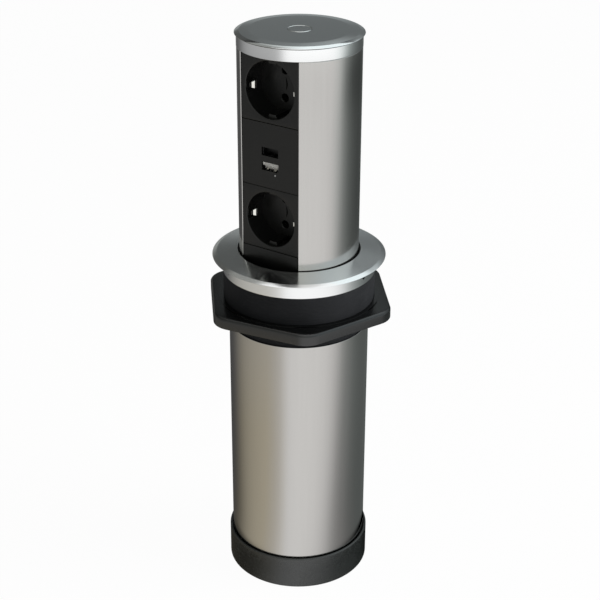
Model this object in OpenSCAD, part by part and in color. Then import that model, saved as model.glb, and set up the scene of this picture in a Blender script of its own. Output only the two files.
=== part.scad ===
// Pop up desk socket: a column with two plug sockets and two charging ports lifts out of a tube that
// hangs in a desk, held by a flange above the desk and a clamp nut below it.
// Millimetres, +Z up, origin on the axis at the underside of the base, sockets facing -Y.
// Drawn raised, with the clamp nut at the lower end of its thread.

/* [Column] */
// Outer diameter of the lifting column
column_d = 84; // [82:0.5:87]
// Wall of the column tube
column_wall = 2; // [1.6:0.1:2.4]
// Height from the stop on the column foot to the top of the collar
guide_len = 36; // [33:0.5:40]
// Gap round the column in the guide bush
slide_fit = 0.1; // [0.05:0.01:0.2]
// Thickness of the foot's stop flange
foot_flange_t = 6; // [4:0.5:8]
// Height of the foot inside the column tube
foot_spigot_h = 14; // [12:0.5:18]
// Diameter of the hole for the cable in the foot
foot_cable_d = 12; // [8:0.5:14]

/* [Lid] */
// Overhang of the rim past the column
lid_overhang = 1.4; // [1.2:0.1:2.4]
// Height of the rim
lid_rim_h = 2.4; // [2.2:0.1:3.4]
// Height of the skirt between rim and column tube
lid_skirt_h = 8.5; // [8.5:0.5:11]
// Width of the rounding at the rim's top edge
lid_bevel_w = 3.7; // [2:0.1:4.5]
// Height of the rounding at the rim's top edge
lid_bevel_h = 1.5; // [0.8:0.1:1.7]
// Thickness of the lid's top
lid_plate_t = 3; // [2.4:0.1:3.2]
// Depth of the lid's spigot in the column tube
lid_spigot_h = 8; // [7:0.5:10]
// Wall of the skirt and spigot
lid_wall = 2.8; // [2.2:0.1:3.2]

/* [Release] */
// Diameter of the release button
button_d = 15.8; // [13:0.1:17]
// Gap round the button
button_gap = 0.25; // [0.2:0.05:0.4]
// Travel of the button
button_travel = 2; // [1.4:0.1:2.2]
// Depth of the dish in the button
button_dish = 0.7; // [0.3:0.1:1]
// Distance of the lever's pivot from the bore of the column
pivot_inset = 8; // [7.5:0.5:9]
// Distance from the pivot to the valve pin
valve_arm = 10; // [9:0.5:11]
// Width of the release lever
lever_w = 8; // [6:0.5:9]
// Thickness of the release lever
lever_t = 2.2; // [1.8:0.1:2.3]
// Diameter of the pivot pin
lever_pin_d = 3; // [2.4:0.1:3.2]

/* [Lift spring] */
// Outer diameter of the spring cylinder
cylinder_d = 18; // [16:0.5:19]
// Wall of the spring cylinder
cylinder_wall = 1.3; // [1:0.1:1.6]
// Diameter of the piston rod
rod_d = 8; // [6:0.5:9]
// Diameter of the release pin in the cylinder's top
valve_pin_d = 4; // [3:0.1:5]
// Height of the cylinder above the base floor when parked
cylinder_park = 28; // [22:1:34]
// Length of each solid cylinder end
cylinder_end = 6; // [5:0.5:8]
// Depth of the cylinder's top below the column tube's top
cylinder_drop = 6.8; // [6:0.1:9]

/* [Modules] */
// Width of a module
module_w = 45; // [44:0.5:46]
// Height of a module
module_h = 45; // [44:0.5:45.5]
// Dark line between modules
module_gap = 0.3; // [0.2:0.05:0.5]
// Gap between a module and the window's edge
window_gap = 1; // [0.6:0.1:1.3]
// Depth of the panel behind the window's corners
panel_set = 0.5; // [0.2:0.1:1]
// Thickness of the module fronts
face_t = 2.2; // [1.8:0.1:2.6]
// Height of the blank panel below the modules
filler_h = 31.15; // [24:0.05:34]

/* [Plug sockets] */
// Diameter of the plug recess
recess_d = 38.6; // [38:0.1:39.4]
// Depth of the plug recess
recess_depth = 17.5; // [16:0.5:18]
// Thickness of the recess floor
recess_floor = 2.4; // [2:0.1:2.8]
// Wall of the recess cup
recess_wall = 2.3; // [1.8:0.1:2.4]
// Distance between the two pin holes
pin_spacing = 19; // [18.5:0.1:19.5]
// Diameter of a pin hole
pin_hole_d = 5.4; // [5:0.1:5.8]
// Width of the guide ribs above and below the pins
rib_w = 6; // [4:0.5:7]
// Height of the guide ribs
rib_h = 2.2; // [1.5:0.1:2.5]
// Width of an earth clip
clip_w = 6; // [5:0.5:7]
// Thickness of the earth strip
clip_t = 0.8; // [0.6:0.05:1]
// How far an earth clip reaches into the recess
clip_reach = 2.6; // [1.5:0.1:3.2]

/* [Charging ports] */
// Width of a port shell
usb_w = 13.1; // [12.8:0.1:13.5]
// Height of a port shell
usb_h = 5.7; // [5.5:0.1:6]
// Wall of a port shell
usb_wall = 0.4; // [0.3:0.05:0.5]
// Distance between the two ports
usb_spacing = 10.2; // [9:0.1:12]
// Height of the ports' middle below the module's middle
usb_drop = 2.4; // [0:0.1:4]
// Depth of the ports behind the panel
usb_depth = 14.3; // [13:0.1:15]
// Width of a port tongue
tongue_w = 11.1; // [10.5:0.1:11.4]
// Thickness of a port tongue
tongue_t = 1.84; // [1.6:0.01:2]
// Diameter of the small light
light_d = 1.2; // [1:0.1:2]
// Sideways place of the small light
light_x = 4.2; // [2:0.1:8]
// Height of the small light below the module's middle
light_drop = 12.6; // [12.2:0.1:15]

/* [Collar] */
// Width of the flange past the skirt
flange_w = 7; // [5:0.1:11]
// Height of the flange's straight edge
flange_edge_h = 0.2; // [0.1:0.1:1.2]
// Rounding of the flange's top edge
flange_edge_r = 0.8; // [0.6:0.1:1.4]
// Height of the collar at its hole above the desk
collar_h = 4.1; // [3.9:0.1:5]
// Gap round the column in the collar
collar_gap = 1; // [0.7:0.1:1.1]
// Step from the thread out to the skirt that goes through the desk
skirt_step = 0.3; // [0.1:0.1:1.2]
// Height of the skirt
skirt_h = 11; // [9:0.5:13]
// Wall of the skirt
skirt_wall = 2.5; // [2:0.1:3]
// Diameter of the grub screws
grub_d = 3; // [2.5:0.1:4]

/* [Sleeve and nut] */
// Step from the tube out to the thread
thread_step = 3.3; // [3:0.1:4]
// Pitch of the thread
thread_pitch = 2; // [1.5:0.1:3]
// Depth of the thread
thread_depth = 0.3; // [0.1:0.05:0.6]
// Length of the thread
thread_len = 27.5; // [24:0.5:32]
// Distance from the column to the bore of the sleeve, filled by the guide bush
bush_wall = 4.5; // [3.5:0.1:6]
// Wall of the sleeve inside the tube
spigot_wall = 2; // [1.5:0.1:3]
// Bare neck between the tube and the thread
neck_h = 11.3; // [8:0.1:14]
// Length of the sleeve inside the tube
spigot_len = 14; // [10:0.5:18]
// Wall of the nut at its flats
nut_wall = 8.4; // [7:0.1:10]
// Radius of the nut's corners
nut_corner_r = 22.5; // [16:0.5:26]
// Height of the nut
nut_h = 8; // [7:0.1:10]
// Rounding of the nut's top edge
nut_edge_r = 2.2; // [1:0.1:2.6]
// Direction of one nut corner from the front
nut_turn = 39.5; // [0:0.5:60]
// Width of the slip washer
washer_w = 2.95; // [2:0.05:3.2]
// Thickness of the slip washer
washer_t = 1.55; // [1.2:0.05:2]

/* [Outer tube] */
// Wall of the tube
tube_wall = 1.5; // [1.3:0.1:1.6]
// Length of the tube
tube_len = 194.2; // [190:0.2:204]

/* [Base] */
// Wall of the base cap round the tube
base_wall = 2.25; // [1.9:0.05:2.75]
// Height of the base cap
base_h = 26; // [25:0.5:32]
// Thickness of the base floor
base_floor = 6; // [5.8:0.1:7]
// Width of the groove between the base's rim and the tube
rim_gap = 0.6; // [0.3:0.05:0.8]
// Depth of that groove
rim_groove = 3; // [1.5:0.5:4]
// Thickness of the screw ring in the tube
plug_t = 4; // [3:0.1:4.4]
// Width of the screw ring in the tube
plug_w = 10; // [9:0.5:12]
// Diameter of the base screws
base_screw_d = 4; // [3:0.1:4.5]
// Diameter of the cable inlet
cable_d = 8; // [6:0.1:8.4]

/* [Hidden] */
$fn = 96;

// Finishes
silver = [0.74, 0.75, 0.75];
bright = [0.86, 0.87, 0.87];
black = [0.12, 0.13, 0.13];
dark = [0.2, 0.21, 0.21];
steel = [0.62, 0.63, 0.64];
brass = [0.78, 0.66, 0.36];
white = [0.93, 0.93, 0.92];
board_green = [0.1, 0.32, 0.2];

// Clearances: overshoot of cuts, light fit of fixed pieces, running fit of pins, room between moving pieces
cut = 1;
seat = 0.05;
pin_fit = 0.06;
room = 0.3;
stop_gap = 0.2;
touch = 0.1;

// Radii
column_r = column_d / 2;
column_bore = column_r - column_wall;
sleeve_bore = column_r + bush_wall;
tube_bore = sleeve_bore + spigot_wall;
tube_r = tube_bore + tube_wall;
base_r = tube_r + base_wall;
lid_r = column_r + lid_overhang;
lid_inner = column_bore - lid_wall;
button_r = button_d / 2;
collar_hole = column_r + collar_gap;
thread_r = tube_r + thread_step;
skirt_r = thread_r + skirt_step;
skirt_bore = skirt_r - skirt_wall;
flange_r = skirt_r + flange_w;
nut_half = thread_r + nut_wall;
cylinder_r = cylinder_d / 2;
cylinder_bore = cylinder_r - cylinder_wall;
rod_r = rod_d / 2;
valve_pin_r = valve_pin_d / 2;
lever_pin_r = lever_pin_d / 2;
washer_gap = 0.45;
washer_in = thread_r + washer_gap;
washer_out = washer_in + washer_w;

// Heights
z_tube_top = base_floor + tube_len;
z_spigot = z_tube_top - spigot_len;
z_thread = z_tube_top + neck_h;
z_skirt = z_thread + thread_len;
z_flange = z_skirt + skirt_h;
z_collar = z_flange + collar_h;
z_foot = z_collar - guide_len;
z_foot_top = z_foot + foot_spigot_h;
z_panel = z_foot_top + touch;
z_filler = z_panel + filler_h + module_gap / 2;
z_lower = z_filler + module_h / 2;
z_usb = z_lower + module_h;
z_upper = z_usb + module_h;
z_modules = z_upper + module_h / 2;
z_column = z_modules + module_gap;
z_rim = z_column + lid_skirt_h;
z_lid = z_rim + lid_rim_h;
z_plate = z_lid - lid_plate_t;
lift = z_rim - z_collar - stop_gap;
z_nut = z_thread - stop_gap;
z_nut_top = z_nut + nut_h;
washer_seat = washer_t - stop_gap;

// Panel: its face lies behind the corners of the window
window_w = module_w + 2 * window_gap;
face_y = panel_set - sqrt(pow(column_r, 2) - pow(window_w / 2, 2));
face_back = face_y + face_t;
plate_h = module_h - module_gap;
recess_r = recess_d / 2;
cup_r = recess_r + recess_wall;
floor_y = face_y + recess_depth;
floor_back = floor_y + recess_floor;
pin_hole_r = pin_hole_d / 2;
rim_chamfer = 0.6;
rib_inset = 3;

// Contacts behind a recess
block_w = 32;
block_side = 5.5;
block_h = pin_spacing + 2 * block_side;
block_wall = 1.5;
block_front = 2.4;
block_depth = 16.8;
block_back = floor_back + block_depth;
contact_y = floor_back + block_front;
contact_len = 11.5;
contact_bore = pin_hole_r + touch;
contact_wall = 0.7;
contact_r = contact_bore + contact_wall;
bar_t = 1;
bar_y = contact_y + contact_len;
bar_x = 6;
bar_w = 5;
bar_room = 0.5;
earth_y = block_back + stop_gap;
earth_link_x = 10.9;
earth_link_w = 3.5;
clip_x = recess_r + touch;
clip_out = clip_x + clip_t;
clip_slot = 0.4;
clip_tip = 0.7;
clip_nose = 7;
clip_foot = 2;

// Frame behind the modules, and the bosses that the modules are screwed to
frame_y = earth_y + clip_t;
frame_t = 2.5;
frame_in = max(module_w / 2, cup_r) + touch;
frame_wall = 1.6;
frame_out = frame_in + frame_wall;
frame_lip = 1.1;
boss_r = 2.8;
boss_side = 5;
boss_end = 4;
boss_x = module_w / 2 - boss_side;
boss_dz = module_h / 2 - boss_end;
boss_bore_depth = 9;
screw_r = 1.5;
screw_head_r = 2.8;
screw_head_h = 2;
module_screw_len = 8;

// Charging ports
port_gap = 0.1;
port_set = 0.2;
port_back = face_y + usb_depth;
z_ports = z_usb - usb_drop;
tongue_set = 1.2;
tongue_rise = 0.75;
board_room = 0.7;
board_w = 2 * (boss_x - boss_r - board_room);
board_h = 40;
board_t = 1.6;
board_back = port_back + board_t;
post_r = 2.5;
post_side = 3;
post_x = board_w / 2 - post_side;
post_dz = 17;
converter = [22, 12, 24];
board_screw_r = 1;
board_screw_len = 5;
board_head_r = 2;
board_head_h = 1.4;

// Release: button, lever and lift spring lie on the plane x = 0, behind the modules
button_flange = 1.6;
button_lip = 1.7;
z_button = z_lid - stop_gap;
z_button_flange = z_plate - stop_gap;
pivot_y = column_bore - pivot_inset;
cylinder_y = pivot_y - valve_arm;
stem_r = 3.5;
lever_front = 3;
lever_back = 3;
lever_clear = 0.5;
lever_gap = 0.35;
lever_sweep = button_travel * (1 + lever_front / pivot_y);
z_lever = z_modules + lever_clear + lever_sweep + lever_t;
pivot_z = z_lever - lever_t / 2;
eye_wall = 1;
ear_t = 2;
ear_gap = 0.4;
ear_x = lever_w / 2 + ear_gap + ear_t / 2;
bracket_t = 1.6;
bracket_front = 8;
bracket_back = 3;
bracket_screw_x = 7.6;
bracket_screw_dy = 5.8;
bracket_screw_r = 1.2;
bracket_head_r = 2.2;
bracket_head_h = 1.4;
bracket_screw_grip = 2;
bracket_w = 2 * (bracket_screw_x + bracket_head_r);
eye_r = lever_pin_r + eye_wall;
z_cylinder_top = z_column - cylinder_drop;
z_cylinder = base_floor + cylinder_park + lift;
piston_h = 8;
piston_rise = 2;
z_piston = z_cylinder + cylinder_end + piston_rise;
saddle_h = 12;
saddle_wall = 3.5;
saddle_rise = 8;
saddle_drop = 10;

// Base details
rim_round = 0.8;
base_chamfer = 0.5;
rod_collar_w = 3;
rod_collar_r = rod_r + rod_collar_w;
rod_collar_h = 2.5;
rod_nut_w = 3.4;
rod_nut_r = rod_r + rod_nut_w;
rod_nut_h = 3;
rod_nut_set = 0.4;
plug_r = tube_bore - seat;
plug_in = plug_r - plug_w;
base_screw_r = base_screw_d / 2;
base_head_w = 1.8;
base_head_r = base_screw_r + base_head_w;
base_head_h = 2.2;
base_head_set = 0.3;
base_screw_pcd_r = plug_r - plug_w / 2;
base_screw_az = [0, 120, 240];
cable_r = cable_d / 2;
grommet_wall = 1.6;
grommet_lip = 1.2;
grommet_r = cable_r + grommet_wall;
grommet_lip_r = grommet_r + grommet_lip;
grommet_lip_t = 1.5;
grommet_set = 0.4;
cable_y = face_y / 2;

// Seal and grub screws in the collar
seal_h = 2.4;
seal_w = 1.6;
grub_r = grub_d / 2;
grub_az = [90, 210, 330];
grub_set = 0.7;
grub_socket = 1.2;
grub_wall = 0.6;
grub_socket_r = grub_r - grub_wall;
hole_chamfer = 0.3;

// Countersunk screws at the rear of the column
column_screw_az = [150, 210];
column_screw_r = 1.5;
column_head_r = 2.8;
column_head_h = 1.5;
column_screw_cover = 0.6;
column_screw_tip = lid_inner + column_screw_cover;
column_screw_set = 0.15;

// Points of an arc, from one angle to another
function arc(cx, cy, r, from, to, steps = 8) =
    [for (i = [0:steps]) let (a = from + (to - from) * i / steps) [cx + r * cos(a), cy + r * sin(a)]];

// Points of a quarter ellipse from its top to its side
function soft_edge(r, z, w, h, steps = 8) =
    [for (i = [0:steps]) let (a = 90 * i / steps) [r - w + w * sin(a), z - h + h * cos(a)]];

// A plain ring standing at z = 0
module ring(r_out, r_in, h) {
    difference() {
        cylinder(r = r_out, h = h);
        translate([0, 0, -cut]) cylinder(r = r_in, h = h + 2 * cut);
    }
}

// Children's +Z turned outwards, in the direction az from the front towards +X
module outwards(az, z) {
    translate([0, 0, z]) rotate([0, 0, az]) rotate([90, 0, 0]) children();
}

// Children's +Z turned to +Y, into the panel
module inwards(x, y, z) {
    translate([x, y, z]) rotate([-90, 0, 0]) children();
}

// A block given by its middle in x and z, its front in y
module slab(w, t, h, x, y, z) {
    translate([x - w / 2, y, z - h / 2]) cube([w, t, h]);
}

module base_screw_shape(gap) {
    for (az = base_screw_az) {
        rotate([0, 0, az]) translate([0, -base_screw_pcd_r, 0]) {
            translate([0, 0, base_head_set])
                cylinder(r1 = base_head_r + gap, r2 = base_screw_r + gap, h = base_head_h);
            translate([0, 0, base_head_set])
                cylinder(r = base_screw_r + gap, h = base_floor + plug_t - base_head_set - seat + gap);
        }
    }
}

// Hole for the grommet in the base floor, with a recess for its lower lip
module cable_hole() {
    translate([0, cable_y, -cut]) {
        cylinder(r = grommet_r + seat, h = base_floor + 2 * cut);
        cylinder(r = grommet_lip_r + room, h = cut + grommet_set + grommet_lip_t + seat);
    }
}

module base_cap() {
    color(black) difference() {
        rotate_extrude() polygon(concat(
            [[0, 0], [base_r - base_chamfer, 0], [base_r, base_chamfer]],
            arc(base_r - rim_round, base_h - rim_round, rim_round, 0, 90),
            [[tube_r + rim_gap, base_h], [tube_r + rim_gap, base_h - rim_groove],
             [tube_r + seat, base_h - rim_groove], [tube_r + seat, base_floor], [0, base_floor]]
        ));
        translate([0, cylinder_y, -cut]) cylinder(r = rod_r + seat, h = base_floor + 2 * cut);
        translate([0, cylinder_y, -cut])
            cylinder(r = rod_nut_r + room, h = cut + rod_nut_set + rod_nut_h + seat);
        base_screw_shape(seat);
        base_screw_mouths();
        cable_hole();
    }
}

// Round mouths below the base screws' heads
module base_screw_mouths() {
    for (az = base_screw_az) {
        rotate([0, 0, az]) translate([0, -base_screw_pcd_r, -cut])
            cylinder(r = base_head_r + seat, h = cut + base_head_set);
    }
}

module outer_tube() {
    color(silver) translate([0, 0, base_floor]) ring(tube_r, tube_bore, tube_len);
}

module tube_plug() {
    color(steel) difference() {
        translate([0, 0, base_floor]) ring(plug_r, plug_in, plug_t);
        base_screw_shape(seat);
    }
}

module base_screws() {
    color(steel) base_screw_shape(0);
}

module cable_grommet() {
    length = base_floor + grommet_lip_t - grommet_set;
    color(dark) translate([0, cable_y, grommet_set]) difference() {
        union() {
            cylinder(r = grommet_r, h = length);
            cylinder(r = grommet_lip_r, h = grommet_lip_t);
            translate([0, 0, length - grommet_lip_t]) cylinder(r = grommet_lip_r, h = grommet_lip_t);
        }
        translate([0, 0, -cut]) cylinder(r = cable_r, h = length + 2 * cut);
    }
}

// Thread drawn as V grooves, one for each pitch
module mounting_sleeve() {
    turns = floor(thread_len / thread_pitch);
    grooves = [for (i = [0:turns - 1], k = [0:2])
        [thread_r - (k == 1 ? thread_depth : 0), z_thread + thread_pitch * (i + 0.25 + k / 4)]];
    color(black) rotate_extrude() polygon(concat(
        [[sleeve_bore, z_spigot], [tube_bore - seat, z_spigot], [tube_bore - seat, z_thread],
         [thread_r, z_thread]],
        grooves,
        [[thread_r, z_skirt], [skirt_bore - seat, z_skirt], [skirt_bore - seat, z_flange],
         [sleeve_bore, z_flange]]
    ));
}

module guide_bush() {
    color(dark) translate([0, 0, z_foot + stop_gap])
        ring(sleeve_bore - seat, column_r + slide_fit, z_flange - z_foot - stop_gap);
}

module wiper_seal() {
    color(black) translate([0, 0, z_flange])
        ring(collar_hole + seal_w - seat, column_r + slide_fit, seal_h - seat);
}

module collar() {
    edge_r = flange_r - flange_edge_r;
    color(bright) difference() {
        rotate_extrude() polygon(concat(
            [[skirt_bore, z_skirt], [skirt_r, z_skirt], [skirt_r, z_flange], [flange_r, z_flange]],
            arc(edge_r, z_flange + flange_edge_h, flange_edge_r, 0, 80),
            [[collar_hole + hole_chamfer, z_collar], [collar_hole, z_collar - hole_chamfer],
             [collar_hole, z_flange + seal_h], [collar_hole + seal_w, z_flange + seal_h],
             [collar_hole + seal_w, z_flange], [skirt_bore, z_flange]]
        ));
        for (az = grub_az) outwards(az, (z_skirt + z_flange) / 2) translate([0, 0, skirt_bore - cut])
            cylinder(r = grub_r + seat, h = skirt_wall + 2 * cut);
    }
}

module collar_screws() {
    color(steel) for (az = grub_az) outwards(az, (z_skirt + z_flange) / 2) difference() {
        translate([0, 0, skirt_bore]) cylinder(r = grub_r, h = skirt_wall - grub_set);
        translate([0, 0, skirt_r - grub_set - grub_socket])
            cylinder(r = grub_socket_r, h = grub_socket + cut, $fn = 6);
    }
}

module gas_rod() {
    color(steel) translate([0, cylinder_y, 0]) {
        translate([0, 0, rod_nut_set]) cylinder(r = rod_r, h = z_piston - rod_nut_set);
        translate([0, 0, base_floor]) cylinder(r = rod_collar_r, h = rod_collar_h);
        translate([0, 0, z_piston]) cylinder(r = cylinder_bore - room, h = piston_h);
    }
}

module rod_nut() {
    color(steel) translate([0, cylinder_y, rod_nut_set]) difference() {
        cylinder(r = rod_nut_r, h = rod_nut_h, $fn = 6);
        translate([0, 0, -cut]) cylinder(r = rod_r + seat, h = rod_nut_h + 2 * cut);
    }
}

module clamp_washer() {
    color(black) translate([0, 0, z_nut_top - washer_seat + seat]) ring(washer_out, washer_in, washer_t);
}

// Hexagon with round corners and a rounded top edge
module clamp_nut() {
    corner = (nut_half - nut_corner_r) / cos(30);
    lower = 0.6;
    color(black) difference() {
        hull() for (k = [0:5]) rotate([0, 0, nut_turn + 60 * k]) translate([0, -corner, z_nut]) {
            cylinder(r = nut_corner_r - lower, h = nut_h - nut_edge_r, $fn = 48);
            for (a = [0:22.5:90]) translate([0, 0, lower])
                cylinder(r = nut_corner_r - nut_edge_r * (1 - cos(a)),
                         h = nut_h - lower - nut_edge_r * (1 - sin(a)), $fn = 48);
        }
        translate([0, 0, z_nut - cut]) cylinder(r = thread_r + room, h = nut_h + 2 * cut);
        translate([0, 0, z_nut_top - washer_seat]) cylinder(r = washer_out + room, h = washer_seat + cut);
    }
}

module column_screw_shape(gap) {
    for (az = column_screw_az, z = [z_column - lid_spigot_h / 2, z_foot + foot_spigot_h / 2]) {
        outwards(az, z) {
            translate([0, 0, column_screw_tip])
                cylinder(r = column_screw_r + gap, h = column_r - column_screw_set - column_screw_tip);
            translate([0, 0, column_r - column_screw_set - column_head_h])
                cylinder(r1 = column_screw_r + gap, r2 = column_head_r + gap, h = column_head_h);
        }
    }
}

// Round mouths over the heads of the column screws
module column_screw_mouths() {
    for (az = column_screw_az, z = [z_column - lid_spigot_h / 2, z_foot + foot_spigot_h / 2]) {
        outwards(az, z) translate([0, 0, column_r - column_screw_set - touch / 2])
            cylinder(r = column_head_r + seat, h = cut);
    }
}

module column_tube() {
    color(silver) difference() {
        translate([0, 0, z_foot]) ring(column_r, column_bore, z_column - z_foot);
        translate([-window_w / 2, -column_d, z_foot_top]) cube([window_w, column_d, z_column]);
        column_screw_shape(seat);
        column_screw_mouths();
    }
}

module lid() {
    groove = 0.4;
    color(bright) difference() {
        rotate_extrude() polygon(concat(
            [[0, z_plate], [0, z_lid]],
            soft_edge(lid_r, z_lid, lid_bevel_w, lid_bevel_h),
            [[lid_r, z_rim], [column_r - groove, z_rim], [column_r - groove, z_rim - groove],
             [column_r, z_rim - groove], [column_r, z_column], [column_bore - seat, z_column],
             [column_bore - seat, z_column - lid_spigot_h], [lid_inner, z_column - lid_spigot_h],
             [lid_inner, z_plate]]
        ));
        translate([-frame_out - room, -column_d, z_column - lid_spigot_h - cut])
            cube([2 * (frame_out + room), column_d, lid_spigot_h + cut]);
        translate([0, 0, z_plate - cut]) cylinder(r = button_r + button_gap, h = lid_plate_t + 2 * cut);
        column_screw_shape(seat);
        bracket_screw_shape(seat);
    }
}

module column_foot() {
    color(dark) difference() {
        union() {
            translate([0, 0, z_foot - foot_flange_t]) cylinder(r = sleeve_bore - room, h = foot_flange_t);
            translate([0, 0, z_foot]) cylinder(r = column_bore - seat, h = foot_spigot_h);
        }
        translate([0, cylinder_y, z_foot - foot_flange_t - cut])
            cylinder(r = cylinder_r + seat, h = foot_flange_t + foot_spigot_h + 2 * cut);
        translate([0, cable_y, z_foot - foot_flange_t - cut])
            cylinder(d = foot_cable_d, h = foot_flange_t + foot_spigot_h + 2 * cut);
        column_screw_shape(seat);
    }
}

module column_screws() {
    color(steel) column_screw_shape(0);
}

module module_screw_places() {
    for (z = [z_upper, z_usb, z_lower], s = [-1, 1]) inwards(s * boss_x, 0, z + s * boss_dz) children();
}

module carrier_frame() {
    frame_h = z_modules - z_foot_top;
    saddle_w = 2 * (cylinder_r + saddle_wall);
    saddle_d = cylinder_y + cylinder_r + saddle_wall - frame_y - frame_t;
    wall_y = face_back + frame_lip;
    color(dark) difference() {
        union() {
            slab(2 * frame_out, frame_t, frame_h, 0, frame_y, z_foot_top + frame_h / 2);
            for (s = [-1, 1])
                slab(frame_wall, frame_y - wall_y + cut, frame_h, s * (frame_in + frame_wall / 2), wall_y,
                     z_foot_top + frame_h / 2);
            for (z = [z_foot_top + saddle_rise, z_cylinder_top - saddle_drop - saddle_h])
                translate([-saddle_w / 2, frame_y + frame_t - seat, z])
                    cube([saddle_w, saddle_d + seat, saddle_h]);
        }
        translate([0, cylinder_y, z_foot_top - cut]) cylinder(r = cylinder_r + seat, h = frame_h + 2 * cut);
        module_screw_places() translate([0, 0, frame_y - cut])
            cylinder(r = screw_r + seat, h = frame_t + 2 * cut);
    }
}

module gas_cylinder() {
    color(dark) translate([0, cylinder_y, 0]) difference() {
        translate([0, 0, z_cylinder]) cylinder(r = cylinder_r, h = z_cylinder_top - z_cylinder);
        translate([0, 0, z_cylinder + cylinder_end])
            cylinder(r = cylinder_bore, h = z_cylinder_top - z_cylinder - 2 * cylinder_end);
        translate([0, 0, z_cylinder - cut]) cylinder(r = rod_r + pin_fit, h = cylinder_end + 2 * cut);
        translate([0, 0, z_cylinder_top - cylinder_end - cut])
            cylinder(r = valve_pin_r + pin_fit, h = cylinder_end + 2 * cut);
    }
}

module release_button() {
    edge = 0.5;
    dish_steps = 6;
    lip_r = button_r + button_lip;
    z_low = z_button_flange - button_flange;
    color(bright) rotate_extrude() polygon(concat(
        [[0, z_lever + lever_gap], [stem_r, z_lever + lever_gap], [stem_r, z_low], [lip_r, z_low],
         [lip_r, z_button_flange], [button_r, z_button_flange], [button_r, z_button - edge],
         [button_r - edge, z_button]],
        [for (i = [1:dish_steps]) let (u = 1 - i / dish_steps)
            [(button_r - 2 * edge) * u, z_button - button_dish * (1 - u * u)]]
    ));
}

module release_lever() {
    color(steel) difference() {
        translate([-lever_w / 2, -lever_front, pivot_z - lever_t / 2])
            cube([lever_w, pivot_y + lever_front + lever_back, lever_t]);
        translate([-lever_w, pivot_y, pivot_z]) rotate([0, 90, 0])
            cylinder(r = lever_pin_r + pin_fit, h = 2 * lever_w);
    }
    color(steel) lever_eye();
}

// Round eye of the lever about the pivot pin
module lever_eye() {
    translate([-lever_w / 2, pivot_y, pivot_z]) rotate([0, 90, 0])
        ring(eye_r, lever_pin_r + pin_fit, lever_w);
}

module lever_pin() {
    half = ear_x + ear_t / 2;
    color(steel) translate([-half, pivot_y, pivot_z]) rotate([0, 90, 0])
        cylinder(r = lever_pin_r, h = 2 * half);
}

module bracket_screw_shape(gap) {
    z_head = z_plate - bracket_t - bracket_head_h;
    for (s = [-1, 1]) translate([s * bracket_screw_x, pivot_y - bracket_screw_dy, z_head]) {
        cylinder(r = bracket_screw_r + gap, h = bracket_head_h + bracket_t + bracket_screw_grip + gap);
        cylinder(r = bracket_head_r, h = bracket_head_h);
    }
}

module lever_bracket() {
    ear_h = z_plate - pivot_z + eye_r;
    notch_w = lever_w + 2 * ear_gap;
    notch_l = eye_r + room + bracket_back + cut;
    color(steel) difference() {
        union() {
            translate([-bracket_w / 2, pivot_y - bracket_front, z_plate - bracket_t])
                cube([bracket_w, bracket_front + bracket_back, bracket_t]);
            for (s = [-1, 1])
                translate([s * ear_x - ear_t / 2, pivot_y - bracket_back, z_plate - ear_h])
                    cube([ear_t, 2 * bracket_back, ear_h]);
        }
        translate([-notch_w / 2, pivot_y - eye_r - room, z_plate - bracket_t - cut])
            cube([notch_w, notch_l, bracket_t + 2 * cut]);
        translate([-bracket_w, pivot_y, pivot_z]) rotate([0, 90, 0])
            cylinder(r = lever_pin_r + seat, h = 2 * bracket_w);
        bracket_screw_shape(seat);
    }
}

module bracket_screws() {
    color(steel) bracket_screw_shape(0);
}

module valve_pin() {
    z_pin = z_cylinder_top - cylinder_end;
    color(steel) translate([0, cylinder_y, z_pin])
        cylinder(r = valve_pin_r, h = z_lever - lever_t - room - z_pin);
}

// Bosses that reach from a module's front to the frame
module module_bosses(z) {
    for (s = [-1, 1])
        inwards(s * boss_x, face_back - touch, z + s * boss_dz)
            cylinder(r = boss_r, h = frame_y - face_back + touch);
}

module boss_bores(z) {
    for (s = [-1, 1])
        inwards(s * boss_x, frame_y - boss_bore_depth, z + s * boss_dz)
            cylinder(r = screw_r + seat, h = boss_bore_depth + cut);
}

// Plug socket front about height z: plate, round recess, pin holes, slots for the earth clips, guide ribs
module socket_face(z) {
    slot_in = clip_x - clip_slot;
    color(black) difference() {
        union() {
            slab(module_w, face_t, plate_h, 0, face_y, z);
            inwards(0, face_back - touch, z) cylinder(r = cup_r, h = floor_back - face_back + touch);
            module_bosses(z);
        }
        difference() {
            inwards(0, face_y - cut, z) cylinder(r = recess_r, h = recess_depth + cut);
            for (s = [-1, 1])
                slab(rib_w, recess_depth, rib_h + cut, 0, face_y + rib_inset,
                     z + s * (recess_r - rib_h / 2 + cut / 2));
        }
        inwards(0, face_y, z) cylinder(r1 = recess_r + rim_chamfer, r2 = recess_r, h = rim_chamfer);
        for (s = [-1, 1]) inwards(0, floor_y - cut, z + s * pin_spacing / 2)
            cylinder(r = pin_hole_r, h = recess_floor + 2 * cut);
        for (s = [-1, 1])
            slab(clip_t + 2 * clip_slot, recess_depth + recess_floor + 2 * cut, clip_w + 2 * clip_slot,
                 s * (clip_x + clip_t / 2), face_y - cut, z);
        boss_bores(z);
    }
}

module socket_face_upper() {
    socket_face(z_upper);
}

module socket_face_lower() {
    socket_face(z_lower);
}

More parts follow.
